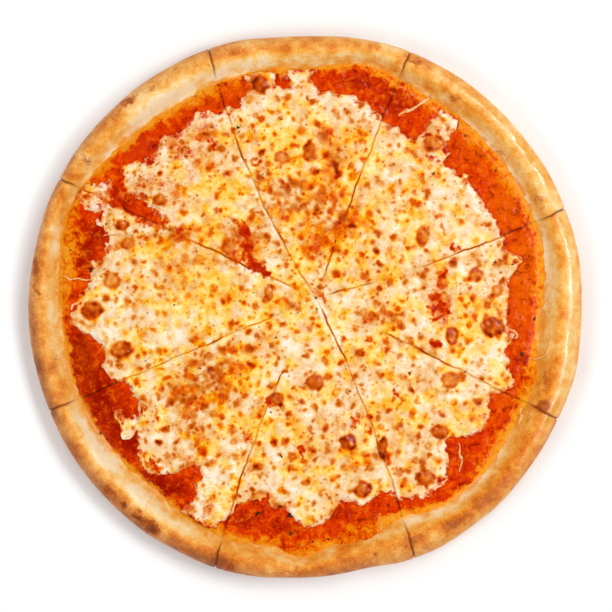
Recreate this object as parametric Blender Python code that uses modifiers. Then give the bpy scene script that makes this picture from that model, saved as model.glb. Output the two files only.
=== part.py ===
"""Cheese pizza, cut into eight slices that still lie together in a round.

Units are metres and +Z is up. The pizza rests on z = 0, and the origin is under its middle.
Every slice has three solids, which all run through it and show at its cut sides: the crust
(the baked dough with its raised rim), the sauce and the cheese. Angles are in degrees,
anticlockwise from +X as seen from above.
"""

import math

import bmesh
import bpy
from mathutils import Vector

# Whole pizza
OUTLINE_RADIUS = 0.15955
DOUGH_THICKNESS = 0.0050
SAUCE_THICKNESS = 0.0010
CHEESE_THICKNESS = 0.0030
LAYER_GAP = 0.0003

# Hand-stretched outline: (angle, half width in degrees, how far it bulges out)
OUTLINE_BULGES = (
    (13, 9, 0.0012),
    (30, 14, 0.0009),
    (91, 13, -0.0030),
    (150, 12, 0.0008),
    (179, 11, 0.0004),
    (267, 9, -0.0021),
    (282, 11, -0.0040),
    (347, 10, 0.0012),
)

# Raised rim: mean width, (angle, half width in degrees, how much wider), and height
RIM_WIDTH = 0.0195
RIM_BULGES = (
    (352, 16, 0.0065),
    (75, 8, -0.0045),
    (122, 12, 0.0025),
    (158, 13, -0.0065),
    (228, 14, 0.0035),
    (269, 5, -0.0070),
    (293, 9, 0.0065),
    (330, 10, 0.0020),
)
RIM_LEAST_HEIGHT = 0.0115
RIM_HEIGHT_PER_WIDTH = 0.24
RIM_CREST = 0.52
RIM_SLOPE_FULLNESS = 0.8
RIM_WIDEST_HEIGHT = 0.0065
BOTTOM_ROUNDING = 0.0060

# Melted cheese: mean radius, and (angle, half width in degrees, reach) of the tongues and
# bays of its edge; the top waves gently, in lobes round the pizza
CHEESE_RADIUS = 0.1205
CHEESE_TONGUES = (
    (4, 8, -0.0030),
    (12.5, 2, 0.0120),
    (48, 6, -0.0070),
    (65, 9, -0.0040),
    (75, 4, 0.0040),
    (84, 5, 0.0050),
    (91, 4, 0.0140),
    (101, 5, 0.0050),
    (119, 5, 0.0080),
    (130, 3.5, 0.0080),
    (143, 5, 0.0100),
    (152.5, 3, 0.0180),
    (175, 5, 0.0050),
    (183, 4.5, 0.0140),
    (204, 4, -0.0070),
    (211, 4, 0.0050),
    (225, 6, 0.0120),
    (235, 2.5, -0.0080),
    (246, 4.5, 0.0175),
    (258, 5, -0.0120),
    (272, 4.5, 0.0080),
    (281, 4, -0.0060),
    (292, 4, -0.0040),
    (304, 7, 0.0100),
    (317, 3.5, -0.0090),
    (329, 6, 0.0050),
    (339.5, 3.5, 0.0070),
    (358, 4, -0.0020),
)
CHEESE_RIM_CLEARANCE = 0.0006
CHEESE_EDGE_ROUNDING = 0.0018
CHEESE_RINGS = (0.4, 0.75, 1.0)
CHEESE_WAVE = 0.00035
CHEESE_WAVE_LOBES = 3

# Knife cuts: they all start at one point; each is (angle at which it leaves the rim, bow)
CUT_CENTRE = Vector((0.0063, 0.0052))
CUTS = (
    (20.8, -0.0036),
    (67.5, 0.0015),
    (110.5, 0.0066),
    (152.3, 0.0004),
    (202.2, 0.0),
    (250.8, -0.0042),
    (293.5, 0.0041),
    (336.1, 0.0),
)
KNIFE_GAP = 0.0006
TIP_SETBACK = 0.0012

# Wedge cutters: how far they run, as a share of the cut, and how low and high
CUTTER_REACH = 1.12
CUTTER_BOTTOM = -0.010
CUTTER_TOP = 0.040

# Fineness of the solids
TURN_STEPS = 120
SLOPE_STEPS = 5
SIDE_STEPS = 4
BOTTOM_STEPS = 3
CHEESE_EDGE_STEPS = 2
CUT_STEPS = 9
ARC_STEPS = 8
MERGE_DISTANCE = 0.00005
SHARP_EDGE_ANGLE = 35

# Looks: colour and roughness
DOUGH_LOOK = ((0.80, 0.47, 0.20), 0.6)
SAUCE_LOOK = ((0.62, 0.09, 0.02), 0.35)
CHEESE_LOOK = ((0.93, 0.70, 0.33), 0.4)


def bulge_sum(angle, bulges):
    """Sum of smooth bulges at an angle; each fades out past its half width."""
    total = 0.0
    for centre, half_width, height in bulges:
        away = (angle - centre + 180.0) % 360.0 - 180.0
        total += height * math.exp(-((away / half_width) ** 2))
    return total


def outline_radius(angle):
    return OUTLINE_RADIUS + bulge_sum(angle, OUTLINE_BULGES)


def rim_width(angle):
    return RIM_WIDTH + bulge_sum(angle, RIM_BULGES)


def rim_height(angle):
    return RIM_LEAST_HEIGHT + RIM_HEIGHT_PER_WIDTH * rim_width(angle)


def rim_foot_radius(angle):
    """Radius at which the rim starts to rise from the flat dough."""
    return outline_radius(angle) - rim_width(angle)


def cheese_radius(angle):
    reach = CHEESE_RADIUS + bulge_sum(angle, CHEESE_TONGUES)
    return min(reach, rim_foot_radius(angle) - CHEESE_RIM_CLEARANCE)


def material(name, look):
    colour, roughness = look
    made = bpy.data.materials.new(name)
    made.use_nodes = True
    shader = made.node_tree.nodes["Principled BSDF"]
    shader.inputs["Base Color"].default_value = (*colour, 1.0)
    shader.inputs["Roughness"].default_value = roughness
    shader.inputs["Metallic"].default_value = 0.0
    made.diffuse_color = (*colour, 1.0)
    return made


def turned_disc(name, profile):
    """Turn a profile of (radius, height) points once round Z and return the mesh."""
    mesh = bpy.data.meshes.new(name + "_profile")
    edges = [(i, i + 1) for i in range(len(profile) - 1)]
    mesh.from_pydata([(radius, 0.0, height) for radius, height in profile], edges, [])
    turned = bpy.data.objects.new(name + "_profile", mesh)
    bpy.context.scene.collection.objects.link(turned)
    screw = turned.modifiers.new("Turn", "SCREW")
    screw.steps = TURN_STEPS
    screw.render_steps = TURN_STEPS
    screw.use_merge_vertices = True
    screw.merge_threshold = MERGE_DISTANCE
    evaluated = turned.evaluated_get(bpy.context.evaluated_depsgraph_get())
    disc = bpy.data.meshes.new_from_object(evaluated)
    disc.name = name
    bpy.data.objects.remove(turned)
    return disc


def reshape(disc, place):
    """Move every point of a turned disc: place(radius, angle, height) gives the new two."""
    for vertex in disc.vertices:
        radius = math.hypot(vertex.co.x, vertex.co.y)
        turn = math.atan2(vertex.co.y, vertex.co.x)
        new_radius, new_height = place(radius, math.degrees(turn), vertex.co.z)
        vertex.co = (
            new_radius * math.cos(turn),
            new_radius * math.sin(turn),
            new_height,
        )


def crust_profile():
    """Section of the dough with a mean rim: flat top, slope, crest, side and underside."""
    foot = OUTLINE_RADIUS - RIM_WIDTH
    crest = foot + RIM_CREST * RIM_WIDTH
    height = RIM_LEAST_HEIGHT + RIM_HEIGHT_PER_WIDTH * RIM_WIDTH
    points = [(0.0, DOUGH_THICKNESS), (foot, DOUGH_THICKNESS)]
    for step in range(1, SLOPE_STEPS + 1):
        part = step / SLOPE_STEPS
        rise = 0.5 - 0.5 * math.cos(math.pi * part**RIM_SLOPE_FULLNESS)
        points.append(
            (
                foot + part * (crest - foot),
                DOUGH_THICKNESS + rise * (height - DOUGH_THICKNESS),
            )
        )
    for step in range(1, SIDE_STEPS + 1):
        turn = 0.5 * math.pi * step / SIDE_STEPS
        points.append(
            (
                crest + (OUTLINE_RADIUS - crest) * math.sin(turn),
                RIM_WIDEST_HEIGHT + (height - RIM_WIDEST_HEIGHT) * math.cos(turn),
            )
        )
    for step in range(1, BOTTOM_STEPS + 1):
        turn = 0.5 * math.pi * step / BOTTOM_STEPS
        points.append(
            (
                OUTLINE_RADIUS - BOTTOM_ROUNDING * (1.0 - math.cos(turn)),
                RIM_WIDEST_HEIGHT * (1.0 - math.sin(turn)),
            )
        )
    points.append((0.0, 0.0))
    return points


def place_on_crust(radius, angle, height):
    """Fit the mean section to the outline, rim width and rim height at this angle."""
    mean_foot = OUTLINE_RADIUS - RIM_WIDTH
    mean_height = RIM_LEAST_HEIGHT + RIM_HEIGHT_PER_WIDTH * RIM_WIDTH
    foot = rim_foot_radius(angle)
    if radius <= mean_foot:
        return radius / mean_foot * foot, height
    new_radius = foot + (radius - mean_foot) / RIM_WIDTH * rim_width(angle)
    if height > RIM_WIDEST_HEIGHT:
        lift = (rim_height(angle) - RIM_WIDEST_HEIGHT) / (
            mean_height - RIM_WIDEST_HEIGHT
        )
        height = RIM_WIDEST_HEIGHT + (height - RIM_WIDEST_HEIGHT) * lift
    return new_radius, height


def sauce_profile(radius):
    bottom = DOUGH_THICKNESS + LAYER_GAP
    top = bottom + SAUCE_THICKNESS
    return [(0.0, top), (radius, top), (radius, bottom), (0.0, bottom)]


def place_on_sauce(radius, angle, height):
    mean = OUTLINE_RADIUS - RIM_WIDTH
    return radius / mean * (rim_foot_radius(angle) - LAYER_GAP), height


def cheese_profile():
    """Section of the cheese: a nearly flat top, a rounded edge and a flat bottom."""
    bottom = DOUGH_THICKNESS + LAYER_GAP + SAUCE_THICKNESS + LAYER_GAP
    top = bottom + CHEESE_THICKNESS
    flat = CHEESE_RADIUS - CHEESE_EDGE_ROUNDING
    points = [(0.0, top)]
    for ring in CHEESE_RINGS:
        points.append((ring * flat, top))
    for step in range(1, CHEESE_EDGE_STEPS + 1):
        turn = 0.5 * math.pi * step / CHEESE_EDGE_STEPS
        points.append(
            (
                flat + CHEESE_EDGE_ROUNDING * math.sin(turn),
                top - CHEESE_EDGE_ROUNDING * (1.0 - math.cos(turn)),
            )
        )
    points.append((CHEESE_RADIUS, bottom))
    points.append((0.0, bottom))
    return points


def place_on_cheese(radius, angle, height):
    """Follow the uneven edge, and let the top rise and sink gently across the pizza."""
    bottom = DOUGH_THICKNESS + LAYER_GAP + SAUCE_THICKNESS + LAYER_GAP
    new_radius = radius / CHEESE_RADIUS * cheese_radius(angle)
    if height > bottom + 0.5 * CHEESE_THICKNESS:
        turn = math.radians(angle)
        across = math.pi * new_radius / CHEESE_RADIUS
        lobes = math.sin(CHEESE_WAVE_LOBES * turn + across)
        height += CHEESE_WAVE * math.sin(across) * lobes
    return new_radius, height


def cut_end(angle):
    turn = math.radians(angle)
    return Vector((math.cos(turn), math.sin(turn))) * outline_radius(angle)


def point_on_cut(cut, part, aside):
    """Point along a bowed cut, moved aside by a distance to its anticlockwise side."""
    angle, bow = cut
    along = cut_end(angle) - CUT_CENTRE
    across = Vector((-along.y, along.x)).normalized()
    offset = 4.0 * bow * part * max(1.0 - part, 0.0) + aside
    return CUT_CENTRE + along * part + across * offset


def wedge_cutter(name, first_cut, second_cut):
    """Upright wedge between two neighbouring cuts, short of each by half a knife gap."""
    half = 0.5 * KNIFE_GAP
    parts = [CUTTER_REACH * step / CUT_STEPS for step in range(1, CUT_STEPS + 1)]
    first_side = [point_on_cut(first_cut, part, half) for part in parts]
    second_side = [point_on_cut(second_cut, part, -half) for part in parts]
    middle = (first_side[0] + second_side[0]) / 2.0 - CUT_CENTRE
    tip = CUT_CENTRE + middle.normalized() * TIP_SETBACK
    start = math.atan2(first_side[-1].y, first_side[-1].x)
    end = math.atan2(second_side[-1].y, second_side[-1].x)
    sweep = (end - start) % (2.0 * math.pi)
    reach = first_side[-1].length
    arc = []
    for step in range(1, ARC_STEPS):
        turn = start + sweep * step / ARC_STEPS
        arc.append(Vector((math.cos(turn), math.sin(turn))) * reach)
    outline = [tip, *first_side, *arc, *reversed(second_side)]
    shape = bmesh.new()
    corners = [shape.verts.new((point.x, point.y, CUTTER_BOTTOM)) for point in outline]
    floor = shape.faces.new(corners)
    raised = bmesh.ops.extrude_face_region(shape, geom=[floor])
    upper = [item for item in raised["geom"] if isinstance(item, bmesh.types.BMVert)]
    bmesh.ops.translate(shape, verts=upper, vec=(0.0, 0.0, CUTTER_TOP - CUTTER_BOTTOM))
    bmesh.ops.recalc_face_normals(shape, faces=shape.faces)
    mesh = bpy.data.meshes.new(name)
    shape.to_mesh(mesh)
    shape.free()
    cutter = bpy.data.objects.new(name, mesh)
    cutter.hide_render = True
    cutter.display_type = "WIRE"
    return cutter


def slice_of(name, disc, cutter, look, parent):
    """One slice of a layer: the whole disc, kept only inside its wedge."""
    piece = bpy.data.objects.new(name, disc)
    if not disc.materials:
        disc.materials.append(look)
    keep = piece.modifiers.new("Slice", "BOOLEAN")
    keep.operation = "INTERSECT"
    keep.solver = "EXACT"
    keep.object = cutter
    piece.parent = parent
    return piece


def main():
    for old in list(bpy.data.objects):
        bpy.data.objects.remove(old)

    pizza = bpy.data.collections.new("cheese_pizza")
    cutters = bpy.data.collections.new("cutters")
    bpy.context.scene.collection.children.link(pizza)
    bpy.context.scene.collection.children.link(cutters)

    crust = turned_disc("crust", crust_profile())
    sauce = turned_disc("sauce", sauce_profile(OUTLINE_RADIUS - RIM_WIDTH))
    cheese = turned_disc("cheese", cheese_profile())
    reshape(crust, place_on_crust)
    reshape(sauce, place_on_sauce)
    reshape(cheese, place_on_cheese)
    layers = (
        ("crust", crust, material("baked_dough", DOUGH_LOOK)),
        ("sauce", sauce, material("tomato_sauce", SAUCE_LOOK)),
        ("cheese", cheese, material("melted_cheese", CHEESE_LOOK)),
    )

    centre = bpy.data.objects.new("pizza_centre", None)
    pizza.objects.link(centre)
    for index, first_cut in enumerate(CUTS):
        second_cut = CUTS[(index + 1) % len(CUTS)]
        cutter = wedge_cutter(f"wedge_{index + 1}", first_cut, second_cut)
        cutter.parent = centre
        cutters.objects.link(cutter)
        for layer, disc, look in layers:
            piece = slice_of(f"{layer}_{index + 1}", disc, cutter, look, centre)
            pizza.objects.link(piece)
    for disc in (crust, sauce, cheese):
        disc.shade_smooth()
        disc.set_sharp_from_angle(angle=math.radians(SHARP_EDGE_ANGLE))


main()
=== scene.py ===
"""Looks of a cheese pizza, cut into eight slices that still lie together in a round.

The photograph looks straight down, with its right along +X and its top along +Y. Places that are
read from it are pixels (x to the right, y down, in a 612 x 612 picture), in the lists whose names
end in _PX. Sizes of the food are in millimetres until a mesh is made, those of the floor and the
lights in metres, and angles in degrees, anticlockwise from +X.
"""

import math

import bpy
import numpy as np
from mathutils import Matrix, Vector


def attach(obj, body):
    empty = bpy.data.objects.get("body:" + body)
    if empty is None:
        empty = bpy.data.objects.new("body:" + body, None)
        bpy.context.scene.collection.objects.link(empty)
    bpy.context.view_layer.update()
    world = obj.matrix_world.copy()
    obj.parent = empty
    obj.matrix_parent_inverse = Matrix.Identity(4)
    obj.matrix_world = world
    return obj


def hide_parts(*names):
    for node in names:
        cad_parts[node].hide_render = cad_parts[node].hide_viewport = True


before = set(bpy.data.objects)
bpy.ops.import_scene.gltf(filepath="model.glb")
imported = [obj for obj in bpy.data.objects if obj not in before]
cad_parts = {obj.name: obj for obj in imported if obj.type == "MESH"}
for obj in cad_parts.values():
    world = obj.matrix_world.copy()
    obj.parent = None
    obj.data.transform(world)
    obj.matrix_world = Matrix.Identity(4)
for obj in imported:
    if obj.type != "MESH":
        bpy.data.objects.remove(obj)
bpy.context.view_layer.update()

MM = 0.001

# ---------------------------------------------------------------- photograph's scale
PHOTO_SIZE = 612
PIZZA_WIDTH = 320.0
PIZZA_WIDTH_PX = 556
PIZZA_CENTRE_PX = (305, 307)
MM_PER_PX = PIZZA_WIDTH / PIZZA_WIDTH_PX

# ---------------------------------------------------------------- main shape, as in the frame
# Lists of bulges: angle, half width in degrees, and the change in mm
OUTLINE_RADIUS = 159.55
OUTLINE_BULGES = (
    (13, 9, 1.2), (30, 14, 0.9), (91, 13, -3.0), (150, 12, 0.8), (179, 11, 0.4), (267, 9, -2.1),
    (282, 11, -4.0), (347, 10, 1.2),
)
RIM_WIDTH = 19.5
RIM_BULGES = (
    (352, 16, 6.5), (75, 8, -4.5), (122, 12, 2.5), (158, 13, -6.5), (228, 14, 3.5),
    (269, 5, -7.0), (293, 9, 6.5), (330, 10, 2.0),
)
RIM_LEAST_HEIGHT = 11.5
RIM_HEIGHT_PER_WIDTH = 0.24
RIM_CREST = 0.52
RIM_SLOPE_FULLNESS = 0.8
RIM_WIDEST_HEIGHT = 6.5
BOTTOM_ROUNDING = 6.0
DOUGH_THICKNESS = 5.0
SAUCE_BOTTOM = 5.3
SAUCE_TOP = 6.3
CHEESE_BOTTOM = 6.35
CHEESE_RADIUS = 120.5
CHEESE_TONGUES = (
    (4, 8, -3.0), (12.5, 2, 12.0), (48, 6, -7.0), (65, 9, -4.0), (75, 4, 4.0), (84, 5, 5.0),
    (91, 4, 14.0), (101, 5, 5.0), (119, 5, 8.0), (130, 3.5, 8.0), (143, 5, 10.0),
    (152.5, 3, 18.0), (175, 5, 5.0), (183, 4.5, 14.0), (204, 4, -7.0), (211, 4, 5.0),
    (225, 6, 12.0), (235, 2.5, -8.0), (246, 4.5, 17.5), (258, 5, -12.0), (272, 4.5, 8.0),
    (281, 4, -6.0), (292, 4, -4.0), (304, 7, 10.0), (317, 3.5, -9.0), (329, 6, 5.0),
    (339.5, 3.5, 7.0), (358, 4, -2.0),
)
# Where the cuts cross, then the angle of each cut's end and the bow of its middle
CUT_CENTRE = (6.3, 5.2)
CUTS = (
    (20.8, -3.6), (67.5, 1.5), (110.5, 6.6), (152.3, 0.4), (202.2, 0.0), (250.8, -4.2),
    (293.5, 4.1), (336.1, 0.0),
)
SLICES = len(CUTS)

# ---------------------------------------------------------------- what the photograph shows
# Raised brown blisters: x, y, half width, half height, tone (0 amber to 1 dark brown)
BLISTERS_PX = (
    (492, 327, 12, 9.5, 0.74), (92, 310, 10, 9, 0.66), (113, 281, 9, 8, 0.52),
    (122, 350, 10, 8.5, 0.68), (310, 153, 7, 9.5, 0.7), (260, 84, 10, 8.5, 0.72),
    (433, 143, 10, 8, 0.66), (348, 442, 7.5, 7.5, 0.76), (362, 489, 8, 7, 0.66),
    (440, 432, 8, 7, 0.72), (425, 478, 9, 7.5, 0.6), (476, 275, 8, 7, 0.62),
    (422, 236, 6, 10, 0.58), (383, 448, 4.5, 10, 0.8), (122, 225, 7, 5.5, 0.62),
    (277, 398, 7, 6.5, 0.62), (315, 382, 8, 7.5, 0.6), (282, 157, 7, 6, 0.5),
    (450, 380, 9, 7.5, 0.5), (452, 336, 6, 8, 0.66), (497, 291, 6, 6.5, 0.62),
    (160, 200, 7, 7, 0.6), (128, 243, 6, 5.5, 0.48), (269, 293, 4.5, 7.5, 0.56),
    (228, 247, 7, 7.5, 0.5), (263, 500, 13, 9, 0.34),
)

# Flat browned spots: x, y, radius, tone
SPOTS_PX = (
    (313, 450, 6, 0.88), (314, 460, 5, 0.74), (310, 441, 5, 0.58), (293, 455, 5, 0.56),
    (165, 352, 5.5, 0.62), (183, 143, 6, 0.55), (209, 464, 6, 0.62), (174, 455, 5, 0.58),
    (145, 398, 5, 0.55), (145, 454, 4, 0.55), (186, 466, 4, 0.55), (274, 354, 4.5, 0.55),
    (377, 374, 5, 0.58), (338, 374, 4, 0.55), (319, 325, 4, 0.85), (293, 305, 4, 0.66),
    (338, 486, 4.5, 0.6), (263, 473, 4, 0.55), (289, 417, 6, 0.42), (441, 411, 5, 0.5),
    (474, 411, 4, 0.52), (404, 485, 4, 0.8), (405, 192, 4, 0.72), (134, 318, 5, 0.5),
    (117, 325, 4, 0.48), (135, 173, 4, 0.55), (169, 265, 5, 0.4), (184, 288, 4, 0.48),
    (143, 288, 4, 0.48), (367, 468, 4, 0.6), (185, 205, 5, 0.52), (203, 135, 3, 0.88),
    (203, 215, 3, 0.85), (303, 193, 3.5, 0.85), (240, 194, 2.4, 0.85), (334, 136, 2.5, 0.7),
    (348, 168, 3, 0.6), (316, 214, 4.5, 0.95), (322, 213, 3.5, 0.85), (250, 384, 4, 0.5),
    (382, 323, 5, 0.6), (293, 230, 4, 0.72), (224, 158, 3.5, 0.5), (237, 168, 3, 0.5),
    (268, 127, 3.5, 0.55), (257, 123, 3, 0.55), (286, 105, 4, 0.62), (277, 98, 3.5, 0.62),
    (300, 122, 3, 0.45), (304, 130, 3, 0.42), (273, 144, 4, 0.52), (258, 172, 4.5, 0.6),
    (308, 98, 3.5, 0.8), (317, 103, 3, 0.6), (295, 137, 2.5, 0.85), (217, 172, 3.5, 0.48),
    (212, 178, 3.5, 0.5), (207, 168, 3, 0.62), (461, 293, 3.5, 0.62), (473, 296, 3.5, 0.55),
    (471, 313, 3, 0.55), (488, 303, 3, 0.6), (503, 375, 4.5, 0.6), (418, 379, 4, 0.6),
    (410, 374, 2.5, 0.9), (434, 343, 4.5, 0.7), (319, 296, 4.5, 0.8), (325, 301, 4, 0.68),
)

# Loose yellow-orange oil and amber cheese: x, y, half width, half height, strength
AMBER_ZONES_PX = (
    (303, 192, 34, 16, 1.3), (345, 222, 32, 24, 1.1), (322, 250, 40, 20, 0.4),
    (262, 176, 18, 12, 0.8), (276, 208, 24, 16, 0.8), (250, 240, 20, 24, 0.8),
    (330, 180, 14, 22, 0.6), (202, 392, 44, 30, 1.1), (225, 368, 30, 18, 0.75),
    (240, 350, 22, 14, 0.6), (178, 266, 28, 18, 0.8), (160, 238, 38, 10, 0.85),
    (215, 272, 22, 14, 0.7), (200, 232, 30, 12, 0.8), (374, 316, 22, 12, 0.8),
    (402, 318, 16, 14, 0.65), (385, 280, 16, 10, 0.55), (440, 290, 14, 34, 0.55),
    (305, 460, 26, 18, 0.6), (370, 460, 24, 10, 0.7), (150, 428, 26, 10, 0.65),
    (190, 430, 20, 16, 0.6), (170, 458, 24, 10, 0.6), (328, 150, 16, 30, 0.55),
    (255, 138, 20, 14, 0.5), (398, 186, 18, 12, 0.6), (292, 420, 14, 10, 0.55),
    (410, 438, 20, 12, 0.5), (350, 440, 12, 16, 0.5), (205, 300, 34, 14, 0.6),
    (270, 330, 25, 14, 0.35), (300, 235, 50, 40, 0.25), (315, 120, 40, 20, 0.25),
)

# Thick pale cheese, and whitened places on the right that are painted highlights standing for
# glare: x, y, half width, half height, strength
PALE_AND_GLARE_ZONES_PX = (
    (215, 116, 26, 14, 0.9), (262, 108, 18, 8, 0.6), (118, 262, 22, 12, 0.7),
    (108, 332, 18, 14, 0.6), (160, 318, 34, 16, 0.55), (178, 340, 30, 10, 0.5),
    (450, 190, 22, 18, 0.95), (462, 216, 28, 14, 0.75), (480, 252, 16, 16, 0.65),
    (396, 222, 14, 9, 0.7), (345, 116, 28, 12, 0.4), (310, 346, 20, 12, 0.8),
    (284, 372, 16, 8, 0.75), (300, 490, 34, 9, 0.9), (320, 412, 24, 9, 0.6),
    (468, 388, 22, 30, 0.95), (490, 352, 16, 16, 0.85), (452, 362, 18, 8, 0.5),
    (420, 452, 24, 10, 0.85), (225, 472, 16, 8, 0.55), (205, 512, 12, 14, 0.6),
    (140, 172, 18, 8, 0.35), (96, 205, 8, 12, 0.8), (330, 330, 14, 8, 0.6),
    (405, 250, 20, 10, 0.4), (237, 205, 14, 8, 0.4),
)

# Thin pinkish cheese: x, y, half width, half height, strength
PINK_ZONES_PX = (
    (98, 200, 14, 20, 1.0), (140, 182, 28, 12, 0.55), (442, 132, 18, 20, 1.0),
    (208, 506, 20, 22, 0.9), (190, 462, 22, 10, 0.9), (300, 530, 16, 10, 0.9),
    (272, 205, 12, 14, 0.6), (318, 292, 8, 8, 0.9), (322, 420, 22, 12, 0.35),
    (490, 290, 12, 24, 0.6), (440, 300, 14, 24, 0.7), (385, 250, 18, 10, 0.5),
    (180, 150, 30, 20, 1.0), (170, 190, 40, 20, 0.6), (212, 128, 20, 12, 0.6),
    (205, 170, 22, 12, 0.5), (265, 95, 22, 10, 0.6), (252, 252, 24, 26, 0.9),
    (310, 205, 46, 30, 0.55), (440, 305, 16, 42, 0.8), (352, 420, 26, 22, 0.6),
    (300, 452, 28, 20, 0.6), (190, 408, 38, 26, 0.5), (148, 214, 28, 10, 0.8),
    (372, 318, 18, 10, 0.7), (245, 440, 22, 12, 0.5), (205, 135, 22, 12, 0.4),
)

# Even, lightly spotted cheese: x, y, half width, half height, strength
CALM_ZONES_PX = ((200, 275, 78, 42, 1.0),)

# Red sauce that shows through gaps in the cheese: from x, y to x, y, half width, strength
SAUCE_GAPS_PX = (
    (242, 226, 248, 240, 4.5, 0.85), (246, 246, 253, 260, 6.0, 0.9),
    (256, 265, 268, 273, 4.0, 0.8), (112, 168, 118, 200, 8.0, 0.7),
    (118, 200, 136, 209, 8.0, 0.7), (136, 209, 160, 222, 6.5, 0.7),
    (182, 228, 184, 230, 4.5, 0.8), (226, 250, 238, 258, 6.0, 0.45),
    (252, 262, 268, 274, 5.0, 0.55), (434, 298, 442, 308, 7.0, 0.85),
    (434, 318, 446, 312, 4.0, 0.85), (443, 270, 441, 284, 4.0, 0.7),
    (434, 343, 436, 346, 3.5, 0.65), (442, 227, 446, 232, 3.0, 0.4),
    (455, 246, 456, 249, 3.0, 0.45), (352, 418, 355, 424, 3.5, 0.6),
    (365, 430, 367, 433, 3.0, 0.55), (247, 436, 250, 438, 3.5, 0.5),
    (396, 391, 402, 402, 2.5, 0.5), (329, 196, 334, 205, 4.5, 0.45),
    (366, 318, 372, 322, 4.0, 0.6), (316, 290, 325, 300, 4.0, 0.5),
    (272, 395, 270, 404, 3.0, 0.45), (384, 446, 387, 458, 3.0, 0.5),
    (170, 139, 176, 150, 3.5, 0.45), (196, 132, 204, 140, 3.5, 0.5),
    (210, 138, 214, 148, 3.0, 0.5), (196, 404, 204, 398, 5.0, 0.45),
    (238, 222, 240, 233, 2.5, 0.5), (255, 158, 257, 162, 2.5, 0.5),
    (300, 450, 306, 462, 3.0, 0.5), (150, 462, 158, 470, 4.0, 0.5),
    (188, 472, 196, 468, 4.0, 0.8), (200, 408, 186, 418, 3.0, 0.4),
)

# Pale raised lips of cheese along cuts: cut, side (1 is anticlockwise), from and to in mm along
# it, width, height
CUT_LIPS = (
    (2, 1, 44, 92, 2.4, 0.5), (2, 1, 2, 18, 2.4, 0.4), (3, 1, 14, 48, 2.4, 0.5),
    (6, 1, 0, 34, 2.2, 0.5), (6, -1, 2, 30, 2.2, 0.5), (6, 1, 112, 128, 2.5, 0.5),
    (0, -1, 60, 96, 1.6, 0.3), (5, 1, 70, 108, 1.8, 0.3),
)


def hump(away, half_width):
    """Smooth hump: 1 at a distance of 0, and about a third at its half width."""
    return np.exp(-((away / half_width) ** 2))


def bulge_sum(angle, bulges):
    """Sum of smooth bulges at an angle, or at an array of angles."""
    total = np.zeros(np.shape(angle))
    for centre, half_width, height in bulges:
        away = (angle - centre + 180.0) % 360.0 - 180.0
        total = total + height * hump(away, half_width)
    return total


def outline_radius(angle):
    return OUTLINE_RADIUS + bulge_sum(angle, OUTLINE_BULGES)


def rim_width(angle):
    return RIM_WIDTH + bulge_sum(angle, RIM_BULGES)


def rim_height(angle):
    return RIM_LEAST_HEIGHT + RIM_HEIGHT_PER_WIDTH * rim_width(angle)


def foot_radius(angle):
    return outline_radius(angle) - rim_width(angle)


def slope_height(share, angle):
    """Height of the rim's inner slope, at a share of the way from its foot to its crest."""
    part = np.clip(share, 0.0, 1.0) ** RIM_SLOPE_FULLNESS
    rise = 0.5 - 0.5 * np.cos(math.pi * part)
    return DOUGH_THICKNESS + rise * (rim_height(angle) - DOUGH_THICKNESS)


def from_photo(x_px, y_px):
    """Place on the pizza of a pixel of the photograph."""
    x = (x_px - PIZZA_CENTRE_PX[0]) * MM_PER_PX
    y = (PIZZA_CENTRE_PX[1] - y_px) * MM_PER_PX
    return x, y


def smoothstep(low, high, value):
    part = np.clip((value - low) / (high - low), 0.0, 1.0)
    return part * part * (3.0 - 2.0 * part)


def cut_line(number):
    """Unit vectors along and across a cut, and its length."""
    angle = CUTS[number][0]
    turn = math.radians(angle)
    reach = float(outline_radius(angle))
    along = np.array([math.cos(turn), math.sin(turn)]) * reach - CUT_CENTRE
    length = float(np.hypot(*along))
    along = along / length
    return along, np.array([-along[1], along[0]]), length


FAR_AWAY = 1000.0
# Lengths in mm over which lips and healed parts of cuts fade out
LIP_FADE = 4
HEALED_FADE = 5
HEALED_WIDTH = 3.0
KNIFE_WANDER = 0.30
KNIFE_WAVES = ((37.0, 1.0), (15.0, 0.6), (6.3, 0.35))


def wander(number, reach):
    """Small sideways wander of a cut, at distances from where the cuts cross."""
    total = np.zeros(np.shape(reach))
    for length, size in KNIFE_WAVES:
        total = total + size * np.sin(2 * math.pi * reach / length + 2.4 * number + length)
    return KNIFE_WANDER * total * smoothstep(0.0, 15.0, reach)


def reach_along(number, x, y):
    """How far along a cut points are, from where the cuts cross."""
    along = cut_line(number)[0]
    return (x - CUT_CENTRE[0]) * along[0] + (y - CUT_CENTRE[1]) * along[1]


def beside_cut(number, x, y):
    """Distance of points from a cut, positive on its anticlockwise side."""
    across, length = cut_line(number)[1:]
    reach = reach_along(number, x, y)
    part = np.clip(reach / length, 0.0, 1.0)
    bend = 4.0 * CUTS[number][1] * part * (1.0 - part)
    middle = bend + wander(number, np.clip(reach, 0.0, None))
    return (x - CUT_CENTRE[0]) * across[0] + (y - CUT_CENTRE[1]) * across[1] - middle


def nearest_cut(x, y):
    """Distance of points from the nearest cut."""
    nearest = np.full(np.shape(x), FAR_AWAY)
    for number in range(SLICES):
        ahead = reach_along(number, x, y) > 0.0
        away = np.where(ahead, np.abs(beside_cut(number, x, y)), FAR_AWAY)
        nearest = np.minimum(nearest, away)
    return nearest


def stretch(start, stop, fade, reach):
    """1 between two places along a cut and 0 beyond them, with soft ends."""
    begun = smoothstep(start - fade, start + fade, reach)
    return begun * smoothstep(stop + fade, stop - fade, reach)


def lips_of_cuts(x, y):
    """Height of the cheese's lips along the cuts."""
    total = np.zeros(np.shape(x))
    for number, side, start, stop, width, height in CUT_LIPS:
        ends = stretch(start, stop, LIP_FADE, reach_along(number, x, y))
        away = side * beside_cut(number, x, y)
        bank = hump(away - 0.45 * width, 0.5 * width) * (away > 0.0)
        total = np.maximum(total, height * bank * ends)
    return total


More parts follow.
